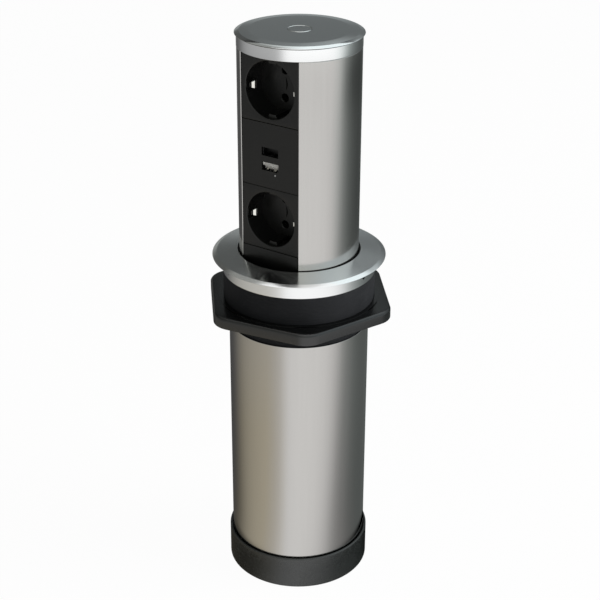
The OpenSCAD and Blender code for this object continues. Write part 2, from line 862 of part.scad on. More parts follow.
// Contact carrier behind a recess, open at its back, with notches where the bars pass
module contact_block(z) {
    color(dark) difference() {
        slab(block_w, block_depth, block_h, 0, floor_back, z);
        slab(block_w - 2 * block_wall, block_depth, block_h - 2 * block_wall, 0, contact_y, z);
        for (s = [-1, 1]) {
            inwards(0, floor_back - cut, z + s * pin_spacing / 2)
                cylinder(r = pin_hole_r, h = block_front + 2 * cut);
            slab(bar_w + 2 * bar_room, block_depth, block_h + 2 * cut, s * (bar_x + bar_w / 2),
                 bar_y - bar_room, z);
        }
    }
}

module contact_block_upper() {
    contact_block(z_upper);
}

module contact_block_lower() {
    contact_block(z_lower);
}

// Bar on the side s with a pin contact s * half the pin spacing above each socket's middle
module contact_bar(s) {
    rise = s * pin_spacing / 2;
    arm = bar_x + bar_w + contact_r;
    arm_h = 2 * contact_r;
    bar_h = z_upper - z_lower + arm_h;
    color(brass) difference() {
        union() {
            slab(bar_w, bar_t, bar_h, s * (bar_x + bar_w / 2), bar_y, z_usb + rise);
            for (z = [z_upper, z_lower]) {
                slab(arm, bar_t, arm_h, s * (bar_x + bar_w - arm / 2), bar_y, z + rise);
                inwards(0, contact_y, z + rise) cylinder(r = contact_r, h = contact_len + bar_t / 2);
            }
        }
        for (z = [z_upper, z_lower])
            inwards(0, contact_y - cut, z + rise)
                cylinder(r = contact_bore, h = contact_len + bar_t + 2 * cut);
    }
}

module live_bar() {
    contact_bar(1);
}

module neutral_bar() {
    contact_bar(-1);
}

// Earth strip: a strap round each contact block whose arms end as bowed clips in the recess
module earth_bar() {
    tip_y = face_y + clip_tip;
    nose_y = face_y + clip_nose;
    base_y = floor_y - clip_foot;
    color(brass) {
        for (z = [z_upper, z_lower]) {
            slab(2 * clip_out, clip_t, clip_w, 0, earth_y, z);
            for (s = [0, 1]) mirror([s, 0, 0]) translate([0, 0, z - clip_w / 2])
                linear_extrude(clip_w) polygon([
                    [clip_x, earth_y], [clip_x, base_y], [clip_x - clip_reach, nose_y], [clip_x, tip_y],
                    [clip_out, tip_y], [clip_out - clip_reach, nose_y], [clip_out, base_y],
                    [clip_out, earth_y]
                ]);
        }
        slab(earth_link_w, clip_t, z_upper - z_lower, earth_link_x + earth_link_w / 2, earth_y, z_usb);
    }
}

module usb_face() {
    color(black) difference() {
        union() {
            slab(module_w, face_t, plate_h, 0, face_y, z_usb);
            module_bosses(z_usb);
            for (s = [-1, 1]) inwards(s * post_x, face_back - touch, z_usb - s * post_dz)
                cylinder(r = post_r, h = port_back - face_back + touch);
        }
        for (s = [-1, 1])
            slab(usb_w + 2 * port_gap, face_t + 2 * cut, usb_h + 2 * port_gap, 0, face_y - cut,
                 z_ports + s * usb_spacing / 2);
        inwards(light_x, face_y - cut, z_usb - light_drop)
            cylinder(r = light_d / 2 + seat, h = face_t + 2 * cut);
        boss_bores(z_usb);
        for (s = [-1, 1]) inwards(s * post_x, port_back - board_screw_len, z_usb - s * post_dz)
            cylinder(r = board_screw_r + seat, h = board_screw_len + cut);
    }
}

// Port shell: a box open at its front
module usb_shell(z) {
    color(steel) difference() {
        slab(usb_w, usb_depth - port_set, usb_h, 0, face_y + port_set, z);
        slab(usb_w - 2 * usb_wall, usb_depth - port_set - usb_wall + cut, usb_h - 2 * usb_wall, 0,
             face_y + port_set - cut, z);
    }
}

module usb_shell_upper() {
    usb_shell(z_ports + usb_spacing / 2);
}

module usb_shell_lower() {
    usb_shell(z_ports - usb_spacing / 2);
}

module usb_tongue(z, tint) {
    tongue_len = usb_depth - tongue_set - usb_wall;
    color(tint) slab(tongue_w, tongue_len, tongue_t, 0, face_y + tongue_set, z + tongue_rise);
}

module usb_tongue_upper() {
    usb_tongue(z_ports + usb_spacing / 2, dark);
}

module usb_tongue_lower() {
    usb_tongue(z_ports - usb_spacing / 2, white);
}

module usb_light() {
    color(white) inwards(light_x, face_y, z_usb - light_drop) cylinder(r = light_d / 2, h = usb_depth);
}

module usb_board() {
    color(board_green) difference() {
        slab(board_w, board_t, board_h, 0, port_back, z_usb);
        for (s = [-1, 1]) inwards(s * post_x, port_back - cut, z_usb - s * post_dz)
            cylinder(r = board_screw_r + seat, h = board_t + 2 * cut);
    }
}

module usb_converter() {
    color(dark) slab(converter[0], converter[1], converter[2], 0, board_back, z_usb);
}

module board_screws() {
    color(steel) for (s = [-1, 1]) inwards(s * post_x, board_back, z_usb - s * post_dz) {
        cylinder(r = board_head_r, h = board_head_h);
        translate([0, 0, touch - board_screw_len]) cylinder(r = board_screw_r, h = board_screw_len);
    }
}

module module_screws() {
    color(steel) module_screw_places() {
        translate([0, 0, frame_y + frame_t]) cylinder(r = screw_head_r, h = screw_head_h);
        translate([0, 0, frame_y - module_screw_len])
            cylinder(r = screw_r, h = module_screw_len + frame_t + touch);
    }
}

module filler_panel() {
    wall = 1.6;
    depth = 20;
    z_mid = z_panel + filler_h / 2;
    color(black) {
        slab(module_w, face_t, filler_h, 0, face_y, z_mid);
        for (s = [-1, 1])
            slab(wall, depth, filler_h, s * (module_w - wall) / 2, face_back - touch, z_mid);
    }
}

base_cap();
outer_tube();
tube_plug();
base_screws();
cable_grommet();
mounting_sleeve();
guide_bush();
wiper_seal();
collar();
collar_screws();
gas_rod();
rod_nut();
clamp_washer();
clamp_nut();
column_tube();
lid();
column_foot();
column_screws();
carrier_frame();
gas_cylinder();
release_button();
release_lever();
lever_pin();
lever_bracket();
bracket_screws();
valve_pin();
socket_face_upper();
socket_face_lower();
contact_block_upper();
contact_block_lower();
live_bar();
neutral_bar();
earth_bar();
usb_face();
usb_shell_upper();
usb_shell_lower();
usb_tongue_upper();
usb_tongue_lower();
usb_light();
usb_board();
usb_converter();
board_screws();
module_screws();
filler_panel();
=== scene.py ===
"""Looks of a pop up desk socket, built round its packed frame.

A column with two plug sockets and two charging ports stands raised out of a tube. A flange above and a
large nut below hold that tube in a desk. Lengths are metres in the part's own frame: +Z is up, the
sockets face -Y and the column's axis is x = y = 0.
"""
import logging
import math
from dataclasses import dataclass, field
from enum import Enum
from typing import Optional, Sequence

import bmesh
import bpy
import numpy as np
from bpy.types import ID, Material, Mesh, Node, NodeSocket, NodeTree, Object
from mathutils import Matrix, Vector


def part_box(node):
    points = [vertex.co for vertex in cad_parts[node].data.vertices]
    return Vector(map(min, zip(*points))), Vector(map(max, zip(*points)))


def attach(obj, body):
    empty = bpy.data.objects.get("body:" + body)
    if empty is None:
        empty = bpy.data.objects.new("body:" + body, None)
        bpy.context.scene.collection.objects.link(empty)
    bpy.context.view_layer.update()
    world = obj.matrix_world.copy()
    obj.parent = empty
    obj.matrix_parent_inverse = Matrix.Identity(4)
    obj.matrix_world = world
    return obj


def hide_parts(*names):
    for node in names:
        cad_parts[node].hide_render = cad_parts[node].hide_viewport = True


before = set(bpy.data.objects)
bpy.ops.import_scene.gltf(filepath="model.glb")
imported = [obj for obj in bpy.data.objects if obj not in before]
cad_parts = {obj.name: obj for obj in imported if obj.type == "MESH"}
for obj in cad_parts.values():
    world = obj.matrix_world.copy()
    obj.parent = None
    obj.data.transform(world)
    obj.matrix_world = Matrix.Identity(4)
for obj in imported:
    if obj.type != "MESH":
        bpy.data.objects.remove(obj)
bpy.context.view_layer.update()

LOG = logging.getLogger("desk_socket")
MM = 0.001
# Faces that meet at a smaller angle than this are shaded as one surface
SMOOTH_ANGLE = math.radians(32)
# Support rows lie this far from a crease or a rounded edge, so that flat stretches stay flat in reflections
CREASE_GAP = 0.12 * MM
EDGE_GAP = 0.2 * MM
# Where most of a noise lies, and most of the product of two
NOISE_BAND = (0.3, 0.7)
PRODUCT_BAND = (0.12, 0.38)
# Materials by their names in the palette
Finishes = dict[str, Material]


class Body(str, Enum):
    """Bodies of the frame that pieces ride on."""

    HOUSING = "housing"
    COLUMN = "column"
    BUTTON = "button"
    NUT = "nut"


class Grain(Enum):
    """Direction of the fine marks that a tool leaves on metal."""

    ALONG = "along the axis"
    RINGS = "rings about the axis"
    NONE = "no direction"


def linear(code: str) -> tuple[float, float, float, float]:
    """Turns an sRGB hex colour into linear RGBA.

    Args:
        code: six hex digits, such as "c0c2c1".

    Returns:
        Linear red, green, blue and an alpha of 1.
    """
    srgb = np.array([int(code[i:i + 2], 16) for i in (0, 2, 4)]) / 255.0
    rgb = np.where(srgb <= 0.04045, srgb / 12.92, ((srgb + 0.055) / 1.055) ** 2.4)
    return (float(rgb[0]), float(rgb[1]), float(rgb[2]), 1.0)


def lack(code: str) -> np.ndarray:
    """What a colour lacks to white, in linear red, green and blue."""
    return 1 - np.array(linear(code)[:3])


def add(tree: NodeTree, kind: str, inputs: Optional[dict[str | int, object]] = None,
        **settings: object) -> Node:
    """Adds one node with its settings, socket values and links.

    Args:
        tree: the node tree that gets the node.
        kind: the node's type name.
        inputs: socket name or number to a value, or to an output socket that is linked to it.
        **settings: properties of the node itself.

    Returns:
        The new node.
    """
    node = tree.nodes.new(kind)
    for key, value in settings.items():
        setattr(node, key, value)
    for key, value in (inputs or {}).items():
        if isinstance(value, NodeSocket):
            tree.links.new(value, node.inputs[key])
        else:
            node.inputs[key].default_value = value
    return node


def empty_tree(name: str) -> tuple[Material, NodeTree]:
    """Makes a material with no nodes.

    Args:
        name: the material's name.

    Returns:
        The material and its node tree.
    """
    material = bpy.data.materials.new(name)
    material.use_nodes = True
    material.node_tree.nodes.clear()
    return material, material.node_tree


def finish_tree(tree: NodeTree, shader: NodeSocket) -> None:
    """Links a shader to the material's surface."""
    add(tree, "ShaderNodeOutputMaterial", {"Surface": shader})


def spread(tree: NodeTree, noise: NodeSocket, band: tuple[float, float], middle: float,
           change: float) -> NodeSocket:
    """Maps a noise to values about a middle.

    Args:
        tree: the material's node tree.
        noise: the noise's output.
        band: the noise that gives the least and the greatest value.
        middle: the value between them.
        change: how far they lie from it.

    Returns:
        The mapped value.
    """
    mapped = add(tree, "ShaderNodeMapRange", {
        "Value": noise, "From Min": band[0], "From Max": band[1],
        "To Min": middle - change, "To Max": middle + change})
    return mapped.outputs[0]


def shaded(tree: NodeTree, code: str, tone: NodeSocket) -> NodeSocket:
    """A colour times a tone that changes from place to place."""
    return add(tree, "ShaderNodeVectorMath", {0: linear(code)[:3], 1: tone}, operation="MULTIPLY").outputs[0]


@dataclass(frozen=True)
class Metal:
    """A bare or clear anodised metal with fine tool marks.

    The marks change the roughness and tilt the surface a little, so reflections break up along them.
    """

    name: str
    colour: str
    roughness: float
    grain: Grain = Grain.NONE
    grain_mm: float = 0.8
    grain_length_mm: float = 30.0
    rough_change: float = 0.06
    tone_change: float = 0.05
    bump_mm: float = 0.004

    def pattern(self, tree: NodeTree) -> NodeSocket:
        """Noise of the tool marks, from 0 to 1.

        Along the axis the noise is stretched by the length of the marks. Rings read only the distance
        from the axis, r = sqrt(x * x + y * y).

        Args:
            tree: the material's node tree.

        Returns:
            The noise's output.
        """
        place = add(tree, "ShaderNodeTexCoord").outputs["Object"]
        across = 1.0 / (self.grain_mm * MM)
        if self.grain is Grain.RINGS:
            flat = add(tree, "ShaderNodeVectorMath", {0: place, 1: (1.0, 1.0, 0.0)}, operation="MULTIPLY")
            radius = add(tree, "ShaderNodeVectorMath", {0: flat.outputs[0]}, operation="LENGTH")
            noise = add(tree, "ShaderNodeTexNoise", {"W": radius.outputs["Value"], "Scale": across,
                                                     "Detail": 3.0}, noise_dimensions="1D")
            return noise.outputs["Fac"]
        along = 1.0 / (self.grain_length_mm * MM) if self.grain is Grain.ALONG else across
        stretched = add(tree, "ShaderNodeMapping", {"Vector": place, "Scale": (across, across, along)})
        noise = add(tree, "ShaderNodeTexNoise", {"Vector": stretched.outputs[0], "Scale": 1.0, "Detail": 3.0})
        return noise.outputs["Fac"]

    def material(self) -> Material:
        """Builds the metal's nodes."""
        material, tree = empty_tree(self.name)
        marks = self.pattern(tree)
        rough = spread(tree, marks, NOISE_BAND, self.roughness, self.rough_change)
        tone = spread(tree, marks, NOISE_BAND, 1.0, self.tone_change)
        colour = shaded(tree, self.colour, tone)
        bump = add(tree, "ShaderNodeBump", {"Height": marks, "Strength": 0.5, "Distance": self.bump_mm * MM})
        shader = add(tree, "ShaderNodeBsdfPrincipled", {
            "Base Color": colour, "Metallic": 1.0, "Roughness": rough, "Normal": bump.outputs[0]})
        finish_tree(tree, shader.outputs[0])
        return material


@dataclass(frozen=True)
class Plastic:
    """A moulded plastic, rubber or paint: a fine grain from the mould over broad, faint changes of gloss."""

    name: str
    colour: str
    roughness: float
    specular: float = 0.5
    grain_mm: float = 0.5
    grain_depth_mm: float = 0.02
    cloud_mm: float = 18.0
    rough_change: float = 0.05
    tone_change: float = 0.12

    def material(self) -> Material:
        """Builds the plastic's nodes."""
        material, tree = empty_tree(self.name)
        place = add(tree, "ShaderNodeTexCoord").outputs["Object"]
        grain = add(tree, "ShaderNodeTexNoise", {"Vector": place, "Scale": 1.0 / (self.grain_mm * MM),
                                                 "Detail": 2.0})
        cloud = add(tree, "ShaderNodeTexNoise", {"Vector": place, "Scale": 1.0 / (self.cloud_mm * MM),
                                                 "Detail": 3.0})
        mixed = add(tree, "ShaderNodeMath", {0: grain.outputs["Fac"], 1: cloud.outputs["Fac"]},
                    operation="MULTIPLY")
        rough = spread(tree, mixed.outputs[0], PRODUCT_BAND, self.roughness, self.rough_change)
        tone = spread(tree, cloud.outputs["Fac"], NOISE_BAND, 1.0, self.tone_change)
        colour = shaded(tree, self.colour, tone)
        bump = add(tree, "ShaderNodeBump", {"Height": grain.outputs["Fac"], "Strength": 0.4,
                                            "Distance": self.grain_depth_mm * MM})
        shader = add(tree, "ShaderNodeBsdfPrincipled", {
            "Base Color": colour, "Roughness": rough, "Specular IOR Level": self.specular,
            "Normal": bump.outputs[0]})
        finish_tree(tree, shader.outputs[0])
        return material


@dataclass(frozen=True)
class Palette:
    """Every finish of the object, by what it is made of and how its surface was made."""

    # Extruded tube, brushed along its length and anodised: a soft broad gloss with faint upright streaks
    tube: Metal = Metal("anodised_aluminium_brushed_along", "c6c4c1", 0.15, Grain.ALONG, 0.9, 60.0,
                        rough_change=0.02, tone_change=0.012, bump_mm=0.0008)
    # Turned and fine blasted, clear anodised: bright, with rings that are too fine to count
    turned: Metal = Metal("clear_anodised_aluminium_turned", "f8f9f9", 0.19, Grain.RINGS, 0.5,
                          rough_change=0.02, tone_change=0.01, bump_mm=0.0006)
    # Faced with a fine feed and clear anodised: an even sheen with hard borders between its slopes
    faced: Metal = Metal("clear_anodised_aluminium_faced", "f8f9f9", 0.09, Grain.RINGS, 0.5,
                         rough_change=0.01, tone_change=0.01, bump_mm=0.0004)
    # Zinc plated steel: grey with a broken, slightly cloudy gloss
    zinc: Metal = Metal("steel_zinc_plated", "b9bcbe", 0.34, Grain.NONE, 1.2, rough_change=0.1)
    # Stamped strip with bright nickel: small hard highlights
    nickel: Metal = Metal("brass_nickel_plated_stamped", "efede6", 0.14, Grain.NONE, 0.7, rough_change=0.03,
                          tone_change=0.02, bump_mm=0.001)
    # Stamped steel, blackened: deep grey with a weak sheen
    dark_steel: Metal = Metal("steel_blackened_stamped", "101012", 0.5, Grain.NONE, 0.7)
    # Glass filled nylon from a spark eroded mould: dull anthracite that goes grey where light rakes it
    nylon: Plastic = Plastic("anthracite_nylon_moulded", "272a29", 0.28, 0.85, 0.55, 0.01)
    # The same nylon, dyed deep black: its colour is mostly the soft gloss on its faces
    black: Plastic = Plastic("black_nylon_moulded", "0b0c0c", 0.2, 0.85, 0.55, 0.006)
    # Black nylon with a thread cut in it: the cut leaves it matt
    thread: Plastic = Plastic("black_nylon_thread_cut", "2c2d2f", 0.6, 0.06, 0.55, 0.01)
    # Polycarbonate fronts, finely textured: deep black with a weak, soft gloss
    front: Plastic = Plastic("black_polycarbonate_moulded", "131311", 0.36, 0.5, 0.45, 0.01)
    # Inner mouldings: plain dark plastic straight from a polished mould
    inner: Plastic = Plastic("dark_abs_moulded", "111112", 0.4, 0.4, 0.8, 0.01)
    # Soft rubber: matt, nearly no gloss
    rubber: Plastic = Plastic("black_rubber_moulded", "1b1b1b", 0.75, 0.3, 0.6, 0.03)
    # Stoved paint on the spring's cylinder: smooth satin black
    paint: Plastic = Plastic("black_stoved_paint", "1d1e20", 0.3, 0.5, 2.5, 0.01)
    # White port insert from a polished mould: clean and bright, with a small clear highlight
    white: Plastic = Plastic("white_pbt_moulded", "eceae4", 0.28, 0.5, 0.8, 0.005, tone_change=0.03)
    # Milky light guide, unlit: a dull grey point
    lens: Plastic = Plastic("milky_acrylic_polished", "d5d6d4", 0.2, 0.5, 0.6, 0.002, tone_change=0.03)
    # Solder mask over a glass fibre board: smooth green with the weave just showing
    board: Plastic = Plastic("green_solder_mask_coated", "1b4a34", 0.25, 0.5, 1.1, 0.02)


@dataclass
class Surface:
    """A grid of points, rows by columns by 3, that becomes quads.

    Attributes:
        points: the grid.
        close_rows: whether the last row joins the first.
        close_cols: whether the last column joins the first.
        cap_rows: whether the first and last row are closed by a face.
    """

    points: np.ndarray
    close_rows: bool = False
    close_cols: bool = True
    cap_rows: bool = False

    def faces(self, start: int = 0) -> list[list[int]]:
        """Quads between neighbouring rows and columns, and the caps.

        Args:
            start: number of the grid's first point.

        Returns:
            Each face as a list of point numbers.
        """
        rows, cols = self.points.shape[:2]
        r, c = np.meshgrid(np.arange(rows if self.close_rows else rows - 1),
                           np.arange(cols if self.close_cols else cols - 1), indexing="ij")
        down, right = (r + 1) % rows, (c + 1) % cols
        quads = np.stack([r * cols + c, down * cols + c, down * cols + right, r * cols + right], -1)
        found = (start + quads.reshape(-1, 4)).tolist()
        if self.cap_rows:
            end = start + rows * cols
            found.append(list(range(start, start + cols)))
            found.append(list(range(end - 1, end - cols - 1, -1)))
        return found


def rounded(corners: Sequence[tuple[float, float, float]], closed: bool = True, steps: int = 6) -> np.ndarray:
    """An outline whose corners are arcs.

    The arc at a corner of inner angle a and radius q touches both sides at q / tan(a / 2) from the corner,
    and its middle lies on the bisector at q / sin(a / 2).

    Args:
        corners: x, y and radius of each corner. A radius of 0 keeps the corner sharp.
        closed: whether the last corner joins the first. An open line keeps its ends.
        steps: number of straight pieces in an arc.

    Returns:
        The outline's points, n by 2.
    """
    points = np.array([corner[:2] for corner in corners], float)
    found = []
    for i, (_, _, radius) in enumerate(corners):
        here = points[i]
        if radius <= 0 or (not closed and i in (0, len(corners) - 1)):
            found.append(here[None])
            continue
        before = points[i - 1] - here
        after = points[(i + 1) % len(corners)] - here
        before /= np.linalg.norm(before)
        after /= np.linalg.norm(after)
        half = math.acos(float(np.clip(before @ after, -1, 1))) / 2
        bisector = (before + after) / np.linalg.norm(before + after)
        middle = here + bisector * radius / math.sin(half)
        first = here + before * radius / math.tan(half) - middle
        last = here + after * radius / math.tan(half) - middle
        turn = math.atan2(first[0] * last[1] - first[1] * last[0], first @ last)
        angle = math.atan2(first[1], first[0]) + turn * np.linspace(0, 1, steps + 1)
        found.append(middle + radius * np.stack([np.cos(angle), np.sin(angle)], 1))
    return np.concatenate(found)


def lathe(profile: np.ndarray, steps: int = 192) -> Surface:
    """A closed profile of radius and height turned about the column's axis.

    A point is (r cos t, r sin t, z) for each angle t.

    Args:
        profile: n by 2 points, radius and height.
        steps: number of angles.

    Returns:
        The surface.
    """
    turn = np.linspace(0, 2 * math.pi, steps, endpoint=False)[:, None]
    radius, height = profile[None, :, 0], np.broadcast_to(profile[None, :, 1], (steps, len(profile)))
    return Surface(np.stack([radius * np.cos(turn), radius * np.sin(turn), height], -1), close_rows=True)


def rim_line(start: Sequence[float], wide: float, slope: float, round_h: float) -> np.ndarray:
    """A turned rim: it falls by its slope times the distance, and by a quarter ellipse towards its edge.

    Args:
        start: radius and height of its inner border.
        wide: its width.
        slope: its fall for each length outwards.
        round_h: height of the quarter ellipse.

    Returns:
        Points of the line, n by 2.
    """
    share = np.sin(np.linspace(0, math.pi / 2, 20))
    fall = slope * wide * share + round_h * (1 - np.sqrt(1 - share ** 2))
    return np.stack([start[0] + wide * share, start[1] - fall], 1)


def bar(wide: Sequence[float], deep: Sequence[float], high_low: Sequence[float], edge: float) -> Surface:
    """An upright bar: a rectangle with round corners carried from one height to another.

    Args:
        wide: both ends in x.
        deep: both ends in y.
        high_low: both ends in z.
        edge: radius of the corners.

    Returns:
        The bar.
    """
    loop = rounded([(wide[0], deep[0], edge), (wide[1], deep[0], edge), (wide[1], deep[1], edge),
                    (wide[0], deep[1], edge)], steps=4)
    grid = [np.column_stack([loop, np.full(len(loop), z)]) for z in high_low]
    return Surface(np.stack(grid), cap_rows=True)


def put_in_scene(name: str, data: ID) -> Object:
    """Makes an object of the data and puts it in the scene."""
    item = bpy.data.objects.new(name, data)
    bpy.context.scene.collection.objects.link(item)
    return item


def outward(mesh: Mesh) -> None:
    """Turns the faces of closed shells outwards, after doubled points are merged."""
    work = bmesh.new()
    work.from_mesh(mesh)
    bmesh.ops.remove_doubles(work, verts=work.verts, dist=1e-7)
    bmesh.ops.recalc_face_normals(work, faces=work.faces)
    work.to_mesh(mesh)
    work.free()


def place_piece(mesh: Mesh, material: Material, body: Body,
                stands_for: Sequence[str] = ()) -> None:
    """Makes a mesh one piece of the object, with the mesh's name.

    Args:
        mesh: its shape.
        material: the finish.
        body: the body that it rides on.
        stands_for: the frame's nodes that it replaces.
    """
    mesh.materials.clear()
    mesh.materials.append(material)
    piece = put_in_scene(mesh.name, mesh)
    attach(piece, body.value)
    if stands_for:
        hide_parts(*stands_for)
    LOG.info("piece %s: %d faces, rides on %s", piece.name, len(mesh.polygons), body.value)


def make_piece(name: str, surfaces: Sequence[Surface], material: Material, body: Body,
               stands_for: Sequence[str] = ()) -> None:
    """Turns surfaces into one piece that rides on a body.

    Args:
        name: the piece's name.
        surfaces: the grids, joined in one mesh.
        material: the finish.
        body: the body that it rides on.
        stands_for: the frame's nodes that it replaces.
    """
    points, faces = [], []
    start = 0
    for surface in surfaces:
        grid = surface.points.reshape(-1, 3)
        points.append(grid)
        faces += surface.faces(start)
        start += len(grid)
    mesh = bpy.data.meshes.new(name)
    mesh.from_pydata(np.concatenate(points).tolist(), [], faces)
    outward(mesh)
    mesh.polygons.foreach_set("use_smooth", np.ones(len(mesh.polygons), bool))
    mesh.set_sharp_from_angle(angle=SMOOTH_ANGLE)
    place_piece(mesh, material, body, stands_for)


def low(node: str) -> np.ndarray:
    """The lowest corner of a node's box."""
    return np.array(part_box(node)[0])


def high(node: str) -> np.ndarray:
    """The highest corner of a node's box."""
    return np.array(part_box(node)[1])


def bottom_of(node: str) -> float:
    """The least height of a node's box."""
    return float(low(node)[2])


def top_of(node: str) -> float:
    """The greatest height of a node's box."""
    return float(high(node)[2])


def reach_of(node: str) -> float:
    """The greatest x of a node's box."""
    return float(high(node)[0])


@dataclass
class Lid:
    """The turned lid and the round release button in it."""

    radius: float = 43.1 * MM
    top: float = top_of("lid") - 0.65 * MM
    rim_low: float = top_of("lid") - 2.4 * MM
    plate_low: float = top_of("lid") - 3.0 * MM
    skirt_r: float = 41.85 * MM
    skirt_low: float = top_of("column_tube")
    flat_r: float = 33.6 * MM
    slope: float = 0.0875
    rim_in: float = 40.0 * MM
    rim_slope: float = 0.27
    round_h: float = 0.36 * MM
    groove_h: float = 0.75 * MM
    groove_d: float = 0.7 * MM
    inside: float = 37.2 * MM
    edge: float = 0.12 * MM
    button_r: float = 7.9 * MM
    button_gap: float = 0.2 * MM
    button_edge: float = 0.45 * MM
    button_proud: float = 0.05 * MM
    button_low: float = bottom_of("release_button")
    dish: float = 0.06 * MM
    neck_gap: float = 0.2 * MM
    lip_out: float = 1.7 * MM
    lip_t: float = 1.6 * MM
    stem_r: float = 3.5 * MM
    axis_r: float = 0.0005 * MM
    # Inset of the dark ring that paints shade into the groove under the rim
    groove_ring_in: float = 0.15 * MM

    def shell_profile(self) -> np.ndarray:
        """Closed outline of the lid: plate, a cone that falls by its slope, rim, shadow groove and skirt.

        Returns:
            Points of the outline, radius and height.
        """
        hole = self.button_r + self.button_gap
        start = self.top - self.slope * (self.rim_in - self.flat_r)
        rim = rim_line((self.rim_in, start), self.radius - self.rim_in, self.rim_slope, self.round_h)
        near, drop = CREASE_GAP, self.slope * CREASE_GAP
        cone = [(self.flat_r - near, self.top), (self.flat_r + near, self.top - drop),
                (self.rim_in - near, start + drop)]
        groove_r, groove_low = self.skirt_r - self.groove_d, self.rim_low - self.groove_h
        below = rounded([
            (self.radius, self.rim_low, self.edge), (groove_r, self.rim_low, 0.0),
            (groove_r, groove_low, 0.0), (self.skirt_r, groove_low, self.edge),
            (self.skirt_r, groove_low - 2 * near, 0.0), (self.skirt_r, self.skirt_low + 2 * near, 0.0),
            (self.skirt_r, self.skirt_low, self.edge), (self.inside, self.skirt_low, 0.0),
            (self.inside, self.plate_low, 0.0), (hole, self.plate_low, 0.0),
            (hole, self.top, self.button_edge), (hole + self.button_edge + near, self.top, 0.0)])
        return np.concatenate([cone, rim, below])

    def button_profile(self) -> np.ndarray:
        """Closed outline of the button: stem, collar, rounded edge and the dish of a parabola.

        Returns:
            Points of the outline, radius and height.
        """
        share = np.linspace(0.999, 0.001, 16)
        crest = self.top + self.button_proud
        face = np.stack([(self.button_r - self.button_edge) * share, crest - self.dish * (1 - share ** 2)], 1)
        neck = self.plate_low - self.neck_gap
        lip, lip_low = self.button_r + self.lip_out, neck - self.lip_t
        body = rounded([
            (self.axis_r, self.button_low, 0.0), (self.stem_r, self.button_low, self.edge),
            (self.stem_r, lip_low, 0.0), (lip, lip_low, self.edge), (lip, neck, self.edge),
            (self.button_r, neck, 0.0), (self.button_r, crest - self.button_edge, 0.0)], closed=False)
        turn = np.linspace(0, math.pi / 2, 8)[1:-1]
        lead = np.stack([self.button_r - self.button_edge * (1 - np.cos(turn)),
                         crest - self.button_edge * (1 - np.sin(turn))], 1)
        return np.concatenate([body, lead, face])

    def build(self, finishes: Finishes) -> None:
        """Makes the lid, a dark ring in its groove as painted shade, and its button."""
        make_piece("lid_shell", [lathe(self.shell_profile())], finishes["faced"], Body.COLUMN,
                   ["lid"])
        # A black rubber ring nearly fills the groove under the rim: a dark part put there as painted shade,
        # deepening the groove's shadow line
        groove_r, seal_and_shade_ring_r = self.skirt_r - self.groove_d, self.skirt_r - self.groove_ring_in
        groove_ring_low = self.rim_low - self.groove_h
        seal = rounded([(groove_r, groove_ring_low, 0.0), (seal_and_shade_ring_r, groove_ring_low, self.edge),
                        (seal_and_shade_ring_r, self.rim_low, self.edge), (groove_r, self.rim_low, 0.0)])
        make_piece("lid_groove_shade_ring", [lathe(seal)], finishes["rubber"], Body.COLUMN)
        make_piece("button_cap", [lathe(self.button_profile(), 96)], finishes["faced"], Body.BUTTON,
                   ["release_button"])


